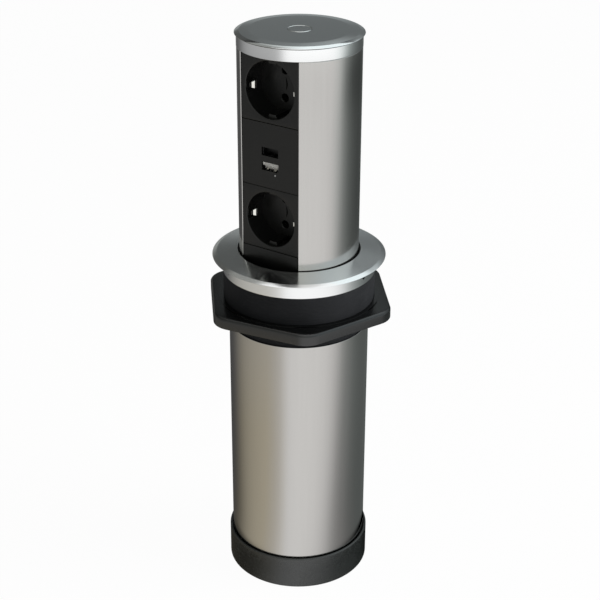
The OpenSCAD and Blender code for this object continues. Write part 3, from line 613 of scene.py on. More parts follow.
@dataclass
class ColumnTube:
    """The lifting tube with its window, and the screws at its rear."""

    radius: float = reach_of("column_tube") - 0.3 * MM
    bottom: float = bottom_of("column_tube")
    top: float = top_of("column_tube")
    window_low: float = top_of("column_foot")
    window_half: float = 22.75 * MM
    wall: float = 1.7 * MM
    edge: float = 0.5 * MM
    screw_az: tuple[float, float] = (150.0, 210.0)
    screw_r: float = 2.8 * MM
    screw_z: tuple[float, float] = (top_of("column_tube") - 4.0 * MM, bottom_of("column_tube") + 7.0 * MM)
    head_proud: float = 0.06 * MM
    head_depth: float = 1.2 * MM
    cross_half: float = 0.36 * MM
    cross_reach: float = 1.75 * MM
    cross_depth: float = 0.9 * MM
    cross_side: float = 0.12 * MM
    cross_end: float = 0.25 * MM

    def window_part(self, steps: int = 220) -> Surface:
        """The tube beside its window: a rectangle of wall and height carried round the axis.

        The angle runs from t0 to 2 pi - t0 with sin t0 = window half width / r, so both cut faces are flat
        and stand at x = +-half width. Near a cut face the rectangle shrinks by q - sqrt(q^2 - (q - d)^2) at
        the distance d, which rounds the edges with radius q.

        Args:
            steps: number of steps round the axis.

        Returns:
            The wall.
        """
        share = np.concatenate([np.linspace(0, 1, 7)[:-1] ** 1.5, np.linspace(1, steps - 1, steps),
                                steps - np.linspace(1, 0, 7)[1:] ** 1.5])
        depth = np.clip(np.minimum(share, steps - share), 0, 1) * self.edge
        inset = self.edge - np.sqrt(np.maximum(self.edge ** 2 - (self.edge - depth) ** 2, 0))
        near = self.edge + EDGE_GAP
        loop = rounded([(self.radius - self.wall, self.window_low, self.edge),
                        (self.radius, self.window_low, self.edge), (self.radius, self.window_low + near, 0.0),
                        (self.radius, self.top - near, 0.0), (self.radius, self.top, self.edge),
                        (self.radius - self.wall, self.top, self.edge)], steps=4)
        middle = np.array([self.radius - self.wall / 2, (self.window_low + self.top) / 2])
        side = np.sign(loop - middle)
        ring = loop[None] - side[None] * inset[:, None, None]
        along = (np.clip(share, 1, steps - 1) - 1) / (steps - 2)
        start = np.arcsin((self.window_half + self.edge) / ring[..., 0])
        turn = start + (2 * math.pi - 2 * start) * along[:, None]
        x = -ring[..., 0] * np.sin(turn)
        y = -ring[..., 0] * np.cos(turn)
        nearest = np.where(share < steps / 2, -1.0, 1.0)[:, None]
        shift = (self.edge - depth)[:, None]
        return Surface(np.stack([x - nearest * shift, y, ring[..., 1]], -1), cap_rows=True)

    def build(self, finishes: Finishes) -> None:
        """Makes the tube, its lower ring and the screw heads."""
        inner = self.radius - self.wall
        ring = rounded([(inner, self.bottom, self.edge), (self.radius, self.bottom, self.edge),
                        (self.radius, self.window_low, 0.0), (inner, self.window_low, 0.0)])
        make_piece("column_shell", [self.window_part(), lathe(ring)], finishes["tube"], Body.COLUMN,
                   ["column_tube"])
        heads = [self.screw_head(az, z) for az in self.screw_az for z in self.screw_z]
        make_piece("column_screw_heads", heads, finishes["zinc"], Body.COLUMN, ["column_screws"])

    def screw_head(self, az: float, z: float) -> Surface:
        """A countersunk head with a cross recess, on the tube's rear.

        On a disc of radius a and angle t the face lies lower by the recess depth where
        min(|a cos t|, |a sin t|) is under half the slot's width and a is under the cross's reach.

        Args:
            az: direction from the front towards +X, in degrees.
            z: height of the screw.

        Returns:
            The head.
        """
        ring = np.concatenate([np.linspace(0.02, 0.62, 16), [0.66, 0.9, 0.97, 1.0, 1.0]]) * self.screw_r
        turn = np.linspace(0, 2 * math.pi, 96, endpoint=False)
        a, t = np.meshgrid(ring, turn, indexing="ij")
        slot = np.minimum(np.abs(a * np.cos(t)), np.abs(a * np.sin(t)))
        recess = (np.clip((self.cross_half - slot) / self.cross_side, 0, 1)
                  * np.clip((self.cross_reach - a) / self.cross_end, 0, 1))
        height = self.head_proud - recess * self.cross_depth
        height[-1] = -self.head_depth
        height[-2] = 0.0
        across, up = a * np.cos(t), a * np.sin(t)
        angle = math.radians(az)
        bend = np.sqrt(self.radius ** 2 - across ** 2) + height
        x = math.sin(angle) * bend + math.cos(angle) * across
        y = -math.cos(angle) * bend + math.sin(angle) * across
        return Surface(np.stack([x, y, z + up], -1), cap_rows=True)


@dataclass
class Collar:
    """The turned flange with its skirt, and the grub screws in that skirt."""

    hole: float = 43.0 * MM
    top: float = top_of("collar")
    crease_r: float = 57.5 * MM
    crease_z: float = top_of("collar") - 2.4 * MM
    radius: float = reach_of("collar")
    rim_slope: float = 0.42
    round_h: float = 0.25 * MM
    flange_low: float = bottom_of("wiper_seal")
    seal_and_shade_ring_r: float = reach_of("wiper_seal") + 0.05 * MM
    seal_top: float = top_of("wiper_seal") + 0.05 * MM
    skirt_r: float = 53.6 * MM
    skirt_bore: float = 51.1 * MM
    bottom: float = bottom_of("collar")
    edge: float = 0.3 * MM
    under_edge: float = 0.1 * MM
    screw_r: float = 1.5 * MM
    screw_az: tuple[float, float, float] = (90.0, 210.0, 330.0)
    screw_proud: float = 0.06 * MM
    screw_depth: float = 2.0 * MM
    socket_half: float = 0.75 * MM
    socket_proud: float = 0.02 * MM

    def profile(self) -> np.ndarray:
        """Closed outline: a flat cone, a steeper rim, the skirt and the seat of the wiper seal.

        Returns:
            Points of the outline, radius and height.
        """
        near = CREASE_GAP
        fall = (self.top - self.crease_z) / (self.crease_r - self.hole)
        start = self.hole + self.edge + near
        first = (start, self.top - fall * (start - self.hole))
        cone = np.array([first, (self.crease_r - near, self.crease_z + fall * near)])
        rim = rim_line((self.crease_r, self.crease_z), self.radius - self.crease_r, self.rim_slope,
                       self.round_h)
        below = rounded([
            (self.radius, rim[-1, 1], 0.0), (self.radius, self.flange_low, self.under_edge),
            (self.skirt_r, self.flange_low, 0.0), (self.skirt_r, self.bottom + 2 * self.edge, 0.0),
            (self.skirt_r, self.bottom, self.edge), (self.skirt_bore, self.bottom, 0.0),
            (self.skirt_bore, self.flange_low, 0.0), (self.seal_and_shade_ring_r, self.flange_low, 0.0),
            (self.seal_and_shade_ring_r, self.seal_top, 0.0), (self.hole, self.seal_top, 0.0),
            (self.hole, self.top, self.edge), first + (0.0,)], closed=False)
        return np.concatenate([cone, rim, below[:-1]])

    def screw(self, az: float) -> Surface:
        """A grub screw's face with its six sided socket, nearly flush with the skirt.

        The socket's border lies at w / cos(t') with t' the angle t folded into +-30 degrees.

        Args:
            az: direction from the front towards +X, in degrees.

        Returns:
            The screw.
        """
        t = np.linspace(0, 2 * math.pi, 48, endpoint=False)
        socket = self.socket_half / np.cos(np.mod(t, math.pi / 3) - math.pi / 6)
        disc = np.full_like(t, self.screw_r)
        loops = [(socket * 0.02, self.socket_proud), (socket, self.socket_proud), (socket, self.screw_proud),
                 (disc, self.screw_proud), (disc, -self.screw_depth)]
        angle, middle = math.radians(az), (self.bottom + self.flange_low) / 2
        grid = []
        for reach, out in loops:
            away, side = self.skirt_r + out, reach * np.cos(t)
            grid.append(np.stack([away * math.sin(angle) + side * math.cos(angle),
                                  -away * math.cos(angle) + side * math.sin(angle),
                                  middle + reach * np.sin(t)], 1))
        return Surface(np.stack(grid), cap_rows=True)

    def build(self, finishes: Finishes) -> None:
        """Makes the flange and the screws' faces."""
        make_piece("collar_flange", [lathe(self.profile())], finishes["turned"], Body.HOUSING,
                   ["collar"])
        make_piece("collar_grub_faces", [self.screw(az) for az in self.screw_az], finishes["dark_steel"],
                   Body.HOUSING, ["collar_screws"])


@dataclass
class BaseCup:
    """The moulded cup that closes the tube's lower end."""

    inset: float = 0.35 * MM
    wall_r: float = 50.9 * MM
    lower: float = 1.15 * MM
    lip_z: float = 15.0 * MM

    def build(self, finishes: Finishes) -> None:
        """Makes the cup from its node's own surface.

        Points farther out than the wall's inside move in by the inset, (x, y) (1 - inset / r), and points of
        the lip move down.
        """
        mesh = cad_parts["base_cap"].data.copy()
        mesh.name = "base_cup"
        points = np.empty(3 * len(mesh.vertices), np.float32)
        mesh.vertices.foreach_get("co", points)
        points = points.reshape(-1, 3)
        radius = np.maximum(np.hypot(points[:, 0], points[:, 1]), 1e-6)
        points[:, :2] *= np.where(radius > self.wall_r, 1 - self.inset / radius, 1.0)[:, None]
        points[:, 2] -= np.where(points[:, 2] > self.lip_z, self.lower, 0.0)
        mesh.vertices.foreach_set("co", points.ravel())
        mesh.update()
        place_piece(mesh, finishes["nylon"], Body.HOUSING, ["base_cap"])


@dataclass
class OuterTube:
    """The tube below the desk."""

    radius: float = 49.6 * MM
    bore: float = 48.5 * MM
    bottom: float = bottom_of("outer_tube")
    top: float = top_of("outer_tube") - 0.35 * MM
    edge: float = 0.3 * MM

    def build(self, finishes: Finishes) -> None:
        """Makes the tube: a rectangle with round corners turned about the axis."""
        near = self.edge + EDGE_GAP
        wall = rounded([(self.bore, self.bottom, self.edge), (self.radius, self.bottom, self.edge),
                        (self.radius, self.bottom + near, 0.0), (self.radius, self.top - near, 0.0),
                        (self.radius, self.top, self.edge), (self.bore, self.top, self.edge)])
        make_piece("outer_tube_shell", [lathe(wall)], finishes["tube"], Body.HOUSING,
                   ["outer_tube"])


@dataclass
class ThreadedSleeve:
    """The black sleeve with its screw thread."""

    bottom: float = bottom_of("mounting_sleeve")
    top: float = top_of("mounting_sleeve")
    thread_r: float = reach_of("mounting_sleeve")
    thread_low: float = top_of("outer_tube") + 11.3 * MM
    thread_high: float = bottom_of("collar")
    spigot_r: float = 48.45 * MM
    neck_top_r: float = 51.05 * MM
    bore: float = 46.5 * MM
    pitch: float = 2.0 * MM
    depth: float = 0.06 * MM

    def surface(self) -> Surface:
        """The sleeve with a one start thread.

        The thread's radius is R - depth * |2 f - 1|^0.8 with f the fraction of z / pitch - t / (2 pi), faded
        in over the first and last half pitch.

        Returns:
            The sleeve.
        """
        turn = np.linspace(0, 2 * math.pi, 160, endpoint=False)[:, None]
        z = np.linspace(self.thread_low, self.thread_high, 139)[None, :]
        wave = np.abs(2 * np.mod(z / self.pitch - turn / (2 * math.pi), 1.0) - 1) ** 0.8
        fade = np.clip(np.minimum(z - self.thread_low, self.thread_high - z) / (0.5 * self.pitch), 0, 1)
        thread = self.thread_r - self.depth * wave * fade
        before = np.array([[self.bore, self.bottom], [self.spigot_r, self.bottom],
                           [self.spigot_r, self.thread_low]])
        after = np.array([[self.neck_top_r, self.thread_high], [self.neck_top_r, self.top],
                          [self.bore, self.top]])
        ones = np.ones_like(turn)
        radius = np.concatenate([ones * before[None, :, 0], thread, ones * after[None, :, 0]], 1)
        height = np.concatenate([ones * before[None, :, 1], ones * z, ones * after[None, :, 1]], 1)
        return Surface(np.stack([radius * np.cos(turn), radius * np.sin(turn), height], -1), close_rows=True)

    def build(self, finishes: Finishes) -> None:
        """Makes the sleeve."""
        make_piece("threaded_sleeve", [self.surface()], finishes["thread"], Body.HOUSING,
                   ["mounting_sleeve"])


@dataclass
class ClampNut:
    """The six sided clamp nut with round corners."""

    bottom: float = bottom_of("clamp_nut")
    top: float = top_of("clamp_nut")
    half: float = 61.7 * MM
    corner_r: float = 16.0 * MM
    first_corner: float = 39.5
    bore: float = 53.6 * MM
    seat_r: float = 57.0 * MM
    seat_depth: float = 1.35 * MM
    edge: float = 2.2 * MM
    foot_edge: float = 0.3 * MM
    lip: float = 0.3 * MM

    def contour(self, inset: float) -> np.ndarray:
        """The hexagon at a distance inside its outer line, each corner an arc.

        Args:
            inset: distance inside the outer line.

        Returns:
            Points of the line, n by 2.
        """
        reach = (self.half - inset) / math.cos(math.radians(30))
        angle = np.radians(self.first_corner + 60 * np.arange(6))
        corners = np.stack([reach * np.sin(angle), -reach * np.cos(angle)], 1)
        return rounded([(x, y, self.corner_r - inset) for x, y in corners], steps=14)

    def surface(self) -> Surface:
        """The nut: levels of hexagon lines outside and circles inside, joined in turn.

        Returns:
            The nut.
        """
        turn = np.linspace(0, math.pi / 2, 9)
        outline = self.contour(0.0)
        angle = np.arctan2(outline[:, 1], outline[:, 0])
        circle = np.stack([np.cos(angle), np.sin(angle)], 1)
        foot = [(self.contour(self.foot_edge * (1 - math.sin(a))),
                 self.bottom + self.foot_edge * (1 - math.cos(a))) for a in turn]
        crown = [(self.contour(self.edge * (1 - math.cos(a))), self.top - self.edge * (1 - math.sin(a)))
                 for a in turn]
        seat = self.top - self.seat_depth
        inside = [(circle * radius, z) for radius, z in (
            (self.seat_r + self.lip, self.top), (self.seat_r, self.top - self.lip), (self.seat_r, seat),
            (self.bore, seat), (self.bore, self.bottom + self.lip), (self.bore + self.lip, self.bottom))]
        grid = [np.column_stack([line, np.full(len(line), z)]) for line, z in foot + crown + inside]
        return Surface(np.stack(grid), close_rows=True)

    def build(self, finishes: Finishes) -> None:
        """Makes the nut."""
        make_piece("clamp_nut_body", [self.surface()], finishes["black"], Body.NUT,
                   ["clamp_nut"])


@dataclass
class SocketFront:
    """One plug socket's front: a square plate with a round recess, two ribs and two pin holes."""

    which: str
    plate_t: float = 2.2 * MM
    edge: float = 0.45 * MM
    mouth: float = 19.3 * MM
    lip: float = 0.6 * MM
    cup_r: float = 21.6 * MM
    depth: float = 17.5 * MM
    floor_t: float = 2.4 * MM
    rib_half: float = 3.0 * MM
    rib_h: float = 2.2 * MM
    rib_in: float = 3.0 * MM
    slot_half: float = 3.4 * MM
    slot_d: float = 1.3 * MM
    slot_in: float = 1.8 * MM
    slot_out: float = 10.4 * MM
    pin_r: float = 2.7 * MM
    pin_at: float = 9.5 * MM
    pin_lead: float = 0.4 * MM
    soft: float = 0.2 * MM

    def middle(self) -> tuple[float, float, float]:
        """Front's y, height of its middle, and half its height."""
        lo, hi = low(f"socket_face_{self.which}"), high(f"socket_face_{self.which}")
        return float(lo[1]), float(lo[2] + hi[2]) / 2, float(hi[2] - lo[2]) / 2

    def cup(self, steps: int = 480) -> Surface:
        """The plate and the recess's wall: loops round the recess's axis, joined in turn.

        In the direction t a loop of the plate reaches min(w / |cos t|, h / |sin t|), and a loop of the recess
        reaches its radius. Below the ribs' start the radius is less by the rib's height where
        |r cos t| is under its half width, and beside the clips it is more by the slot's depth.

        Args:
            steps: number of directions.

        Returns:
            The plate with the recess's wall.
        """
        front, z, half_h = self.middle()
        half_w = reach_of(f"socket_face_{self.which}")
        t = np.linspace(0, 2 * math.pi, steps, endpoint=False)
        across, up = np.cos(t), np.sin(t)
        quarter = np.linspace(0, math.pi / 2, 5)
        soft = self.soft
        rib = np.clip((self.rib_half + soft - np.abs(self.mouth * across)) / soft, 0, 1) * self.rib_h
        slot = np.clip((self.slot_half + soft - np.abs(self.mouth * up)) / soft, 0, 1) * self.slot_d
        ring, outside = np.full(steps, self.mouth), np.full(steps, self.cup_r)
        border = [(self.edge * (1 - math.cos(a)), self.edge * (1 - math.sin(a))) for a in quarter]
        loops = []
        for inset, y in [(0.0, self.plate_t)] + border:
            reach = np.minimum((half_w - inset) / np.maximum(np.abs(across), 1e-9),
                               (half_h - inset) / np.maximum(np.abs(up), 1e-9))
            loops.append((reach, y))
        loops += [(ring + self.lip * (1 - math.sin(a)), self.lip * (1 - math.cos(a))) for a in quarter]
        loops += [(ring, self.slot_in), (ring + slot, self.slot_in + soft), (ring + slot, self.rib_in),
                  (ring + slot - rib, self.rib_in + soft), (ring + slot - rib, self.slot_out),
                  (ring - rib, self.slot_out + soft), (ring - rib, self.depth),
                  (outside, self.depth), (outside, self.plate_t)]
        grid = [np.stack([r * across, np.full(steps, front + y), z + r * up], 1) for r, y in loops]
        return Surface(np.stack(grid), close_rows=True)

    def half_floor(self, side: float, steps: int = 120) -> Surface:
        """Half of the recess's floor, with its pin hole.

        From the hole's middle c a ray in the direction d ends at the cup, where |c + d s| is its radius, or
        at the middle line, whichever comes first. Loops run between the hole and those ends.

        Args:
            side: 1 for the upper half, -1 for the lower one.
            steps: number of rays.

        Returns:
            The half disc.
        """
        front, z, _ = self.middle()
        t = np.linspace(0, 2 * math.pi, steps, endpoint=False)
        across, up = np.cos(t), np.sin(t)
        to_cup = -self.pin_at * up + np.sqrt((self.pin_at * up) ** 2 + self.cup_r ** 2 - self.pin_at ** 2)
        to_line = self.pin_at / np.maximum(-up, 1e-9)
        end = np.minimum(to_cup, np.where(up < 0, to_line, np.inf))
        pin = np.full(steps, self.pin_r)
        loops = [(pin, self.floor_t), (pin, self.pin_lead), (pin + self.pin_lead, 0.0), (end, 0.0),
                 (end, self.floor_t)]
        grid = [np.stack([r * across, np.full(steps, front + self.depth + y),
                          z + side * (self.pin_at + r * up)], 1) for r, y in loops]
        return Surface(np.stack(grid), close_rows=True)

    def build(self, finishes: Finishes) -> None:
        """Makes the front."""
        make_piece(f"socket_front_{self.which}", [self.cup(), self.half_floor(1.0), self.half_floor(-1.0)],
                   finishes["front"], Body.COLUMN, [f"socket_face_{self.which}"])


@dataclass
class PlugContacts:
    """The nickel plated earth strip whose ends are the bowed clips in both recesses."""

    strip_t: float = 0.8 * MM
    strip_w: float = 5.6 * MM
    tip_w: float = 2.9 * MM
    half: float = reach_of("earth_bar")
    tip_y: float = float(low("earth_bar")[1])
    back_y: float = float(high("earth_bar")[1])
    tip: float = 2.4 * MM
    tip_in: float = 1.9 * MM
    bend: float = 2.6 * MM
    bend_in: float = 3.1 * MM
    nose: float = 4.55 * MM
    nose_in: float = 5.6 * MM
    foot_in: float = 10.8 * MM
    taper: float = 4.0 * MM
    section_q: float = 0.25
    bend_q: float = 0.4 * MM
    nose_q: float = 1.5 * MM
    foot_q: float = 3.0 * MM
    back_q: float = 1.2 * MM
    heights: tuple[float, float] = (
        (bottom_of("socket_face_lower") + top_of("socket_face_lower")) / 2,
        (bottom_of("socket_face_upper") + top_of("socket_face_upper")) / 2)
    link_x: float = 12.65 * MM
    link_w: float = 3.5 * MM
    link_edge: float = 0.2 * MM

    def strip(self, z: float) -> Surface:
        """One strap with its two clips: a flat section carried along a bent line.

        The section at the line's point c with sideways normal n is c + n a + z b, with (a, b) a rectangle of
        round edges. Its height grows from the tip's to the strip's over the taper.

        Args:
            z: height of the recess's middle.

        Returns:
            The strip.
        """
        mid = self.half - self.strip_t / 2
        back = self.back_y - self.strip_t / 2
        side = [(mid - self.tip, self.tip_y + self.tip_in, 0.0),
                (mid - self.bend, self.tip_y + self.bend_in, self.bend_q),
                (mid - self.nose, self.tip_y + self.nose_in, self.nose_q),
                (mid, self.tip_y + self.foot_in, self.foot_q), (mid, back, self.back_q)]
        line = rounded(side + [(-x, y, q) for x, y, q in reversed(side)], closed=False, steps=12)
        step = np.gradient(line, axis=0)
        step /= np.linalg.norm(step, axis=1, keepdims=True)
        normal = np.stack([step[:, 1], -step[:, 0]], 1)
        run = np.concatenate([[0], np.cumsum(np.linalg.norm(np.diff(line, axis=0), axis=1))])
        left = np.minimum(run, run[-1] - run)
        width = self.tip_w + (self.strip_w - self.tip_w) * np.clip(left / self.taper, 0, 1)
        q = self.section_q
        loop = rounded([(-1, -1, q), (1, -1, q), (1, 1, q), (-1, 1, q)], steps=3) / 2
        a = loop[None, :, 0] * self.strip_t
        b = loop[None, :, 1] * width[:, None]
        flat = line[:, None, :] + normal[:, None, :] * a[..., None]
        return Surface(np.concatenate([flat, z + b[..., None]], -1), cap_rows=True)

    def link(self) -> Surface:
        """The flat bar between both straps: a rectangle carried up."""
        return bar((self.link_x - self.link_w / 2, self.link_x + self.link_w / 2),
                   (self.back_y - self.strip_t, self.back_y), self.heights, self.link_edge)

    def build(self, finishes: Finishes) -> None:
        """Makes the earth strip."""
        make_piece("earth_strip", [self.strip(z) for z in self.heights] + [self.link()], finishes["nickel"],
                   Body.COLUMN, ["earth_bar"])


@dataclass
class ChargingPort:
    """One charging port: its shell, the sprung fingers in it, and its tongue."""

    which: str
    shell_finish: str
    tongue_finish: str
    finger_finish: str
    tongue_slot: str
    wall: float = 0.35 * MM
    corner: float = 0.7 * MM
    least_corner: float = 0.05 * MM
    flare: float = 0.2 * MM
    flare_out: float = 0.02 * MM
    shell_in: float = 0.0
    finger_x: float = 3.1 * MM
    finger_half: float = 0.9 * MM
    finger_t: float = 0.2 * MM
    finger_edge: float = 0.08 * MM
    finger_in: float = 0.9 * MM
    finger_length: float = 4.6 * MM
    finger_rise: float = 0.75 * MM
    tongue_t: float = 1.9 * MM
    tongue_in: float = 0.5 * MM
    tongue_gap: float = 0.1 * MM
    tongue_edge: float = 0.2 * MM
    roof_gap: float = 0.02 * MM
    back_in: float = 5.0 * MM

    def box(self) -> tuple[np.ndarray, np.ndarray]:
        """Lowest and highest corner of the shell."""
        return low(f"usb_shell_{self.which}"), high(f"usb_shell_{self.which}")

    def shell(self) -> Surface:
        """Levels of a round cornered rectangle, out along the outer wall and back along the inner one.

        Returns:
            The shell.
        """
        lo, hi = self.box()
        front = lo[1] + self.shell_in
        levels = [(0.0, hi[1]), (0.0, front), (self.flare, front - self.flare_out),
                  (self.wall, front + self.flare), (self.wall, hi[1] - self.wall)]
        grid = []
        for inset, y in levels:
            q = max(self.corner - inset, self.least_corner)
            line = rounded([(lo[0] + inset, lo[2] + inset, q), (hi[0] - inset, lo[2] + inset, q),
                            (hi[0] - inset, hi[2] - inset, q), (lo[0] + inset, hi[2] - inset, q)], steps=5)
            grid.append(np.column_stack([line[:, 0], np.full(len(line), y), line[:, 1]]))
        return Surface(np.stack(grid), cap_rows=True)

    def finger(self, middle: float) -> Surface:
        """A bowed spring on the shell's floor: height h sin(pi s)^1.5 along the share s of its length.

        Args:
            middle: x of its middle.

        Returns:
            The spring.
        """
        lo, _ = self.box()
        wide, thick, q = self.finger_half, self.finger_t / 2, self.finger_edge
        loop = rounded([(-wide, -thick, q), (wide, -thick, q), (wide, thick, q), (-wide, thick, q)], steps=3)
        share = np.linspace(0, 1, 13)[:, None]
        rise = lo[2] + self.wall + self.finger_rise * np.sin(math.pi * share) ** 1.5
        y = lo[1] + self.finger_in + self.finger_length * share
        x, z = middle + loop[None, :, 0], rise + loop[None, :, 1]
        return Surface(np.stack([x + 0 * z, y + 0 * z, z], -1), cap_rows=True)

    def tongue(self) -> list[Surface]:
        """The insulator: rectangles with round corners carried along y, under the roof and at the back.

        Returns:
            Both bodies of the insulator.
        """
        lo, hi = self.box()
        left, right = lo[0] + self.wall + self.tongue_gap, hi[0] - self.wall - self.tongue_gap
        floor, roof = lo[2] + self.wall + self.roof_gap, hi[2] - self.wall - self.roof_gap
        found = []
        for under, start in ((roof - self.tongue_t, self.tongue_in), (floor, self.back_in)):
            line = rounded([(left, under, self.tongue_edge), (right, under, self.tongue_edge),
                            (right, roof, 0.0), (left, roof, 0.0)], steps=4)
            grid = [np.column_stack([line[:, 0], np.full(len(line), y), line[:, 1]])
                    for y in (lo[1] + start, hi[1] - self.wall)]
            found.append(Surface(np.stack(grid), cap_rows=True))
        return found

    def build(self, finishes: Finishes) -> None:
        """Makes the shell, its fingers and its tongue."""
        make_piece(f"port_shell_{self.which}", [self.shell()], finishes[self.shell_finish], Body.COLUMN,
                   [f"usb_shell_{self.which}"])
        fingers = [self.finger(x) for x in (-self.finger_x, self.finger_x)]
        make_piece(f"port_fingers_{self.which}", fingers, finishes[self.finger_finish], Body.COLUMN)
        make_piece(f"port_tongue_{self.which}", self.tongue(), finishes[self.tongue_finish], Body.COLUMN,
                   [f"usb_tongue_{self.which}"])


@dataclass
class FrameParts:
    """The frame's own nodes that stay, each with its finish."""

    nodes: dict[str, tuple[str, ...]] = field(default_factory=lambda: {
        "black": ("clamp_washer",),
        "front": ("usb_face", "filler_panel"),
        "inner": ("guide_bush", "column_foot", "carrier_frame", "contact_block_upper", "contact_block_lower",
                  "usb_converter"),
        "zinc": ("tube_plug", "base_screws", "gas_rod", "rod_nut", "release_lever", "lever_pin",
                 "lever_bracket", "bracket_screws", "valve_pin", "board_screws", "module_screws"),
        "nickel": ("live_bar", "neutral_bar"),
        "rubber": ("cable_grommet", "wiper_seal"),
        "paint": ("gas_cylinder",),
        "lens": ("usb_light",),
        "board": ("usb_board",),
    })

    def dress(self, finishes: Finishes) -> None:
        """Gives each node its finish."""
        for finish, names in self.nodes.items():
            for name in names:
                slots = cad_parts[name].data.materials
                slots.clear()
                slots.append(finishes[finish])
                LOG.info("node %s: %s", name, finish)


def fade(past: np.ndarray, soft: np.ndarray | float) -> np.ndarray:
    """A soft edge, 1 / (1 + e^(past / soft)): 1 well before it and 0 well past it.

    Args:
        past: degrees past the edge.
        soft: degrees over which it fades.

    Returns:
        The share that is left.
    """
    return 1 / (1 + np.exp(past / soft))


def slant(radius: np.ndarray, limit: float, pull: float, shift: float) -> np.ndarray:
    """The angle of a slanting edge on the floor: limit - pull / (radius + shift).

    Args:
        radius: distances from the axis.
        limit: the angle far off, in degrees.
        pull: how much it turns in close by.
        shift: keeps the turn finite at the axis.

    Returns:
        The angles in degrees.
    """
    return limit - pull / (radius + shift)


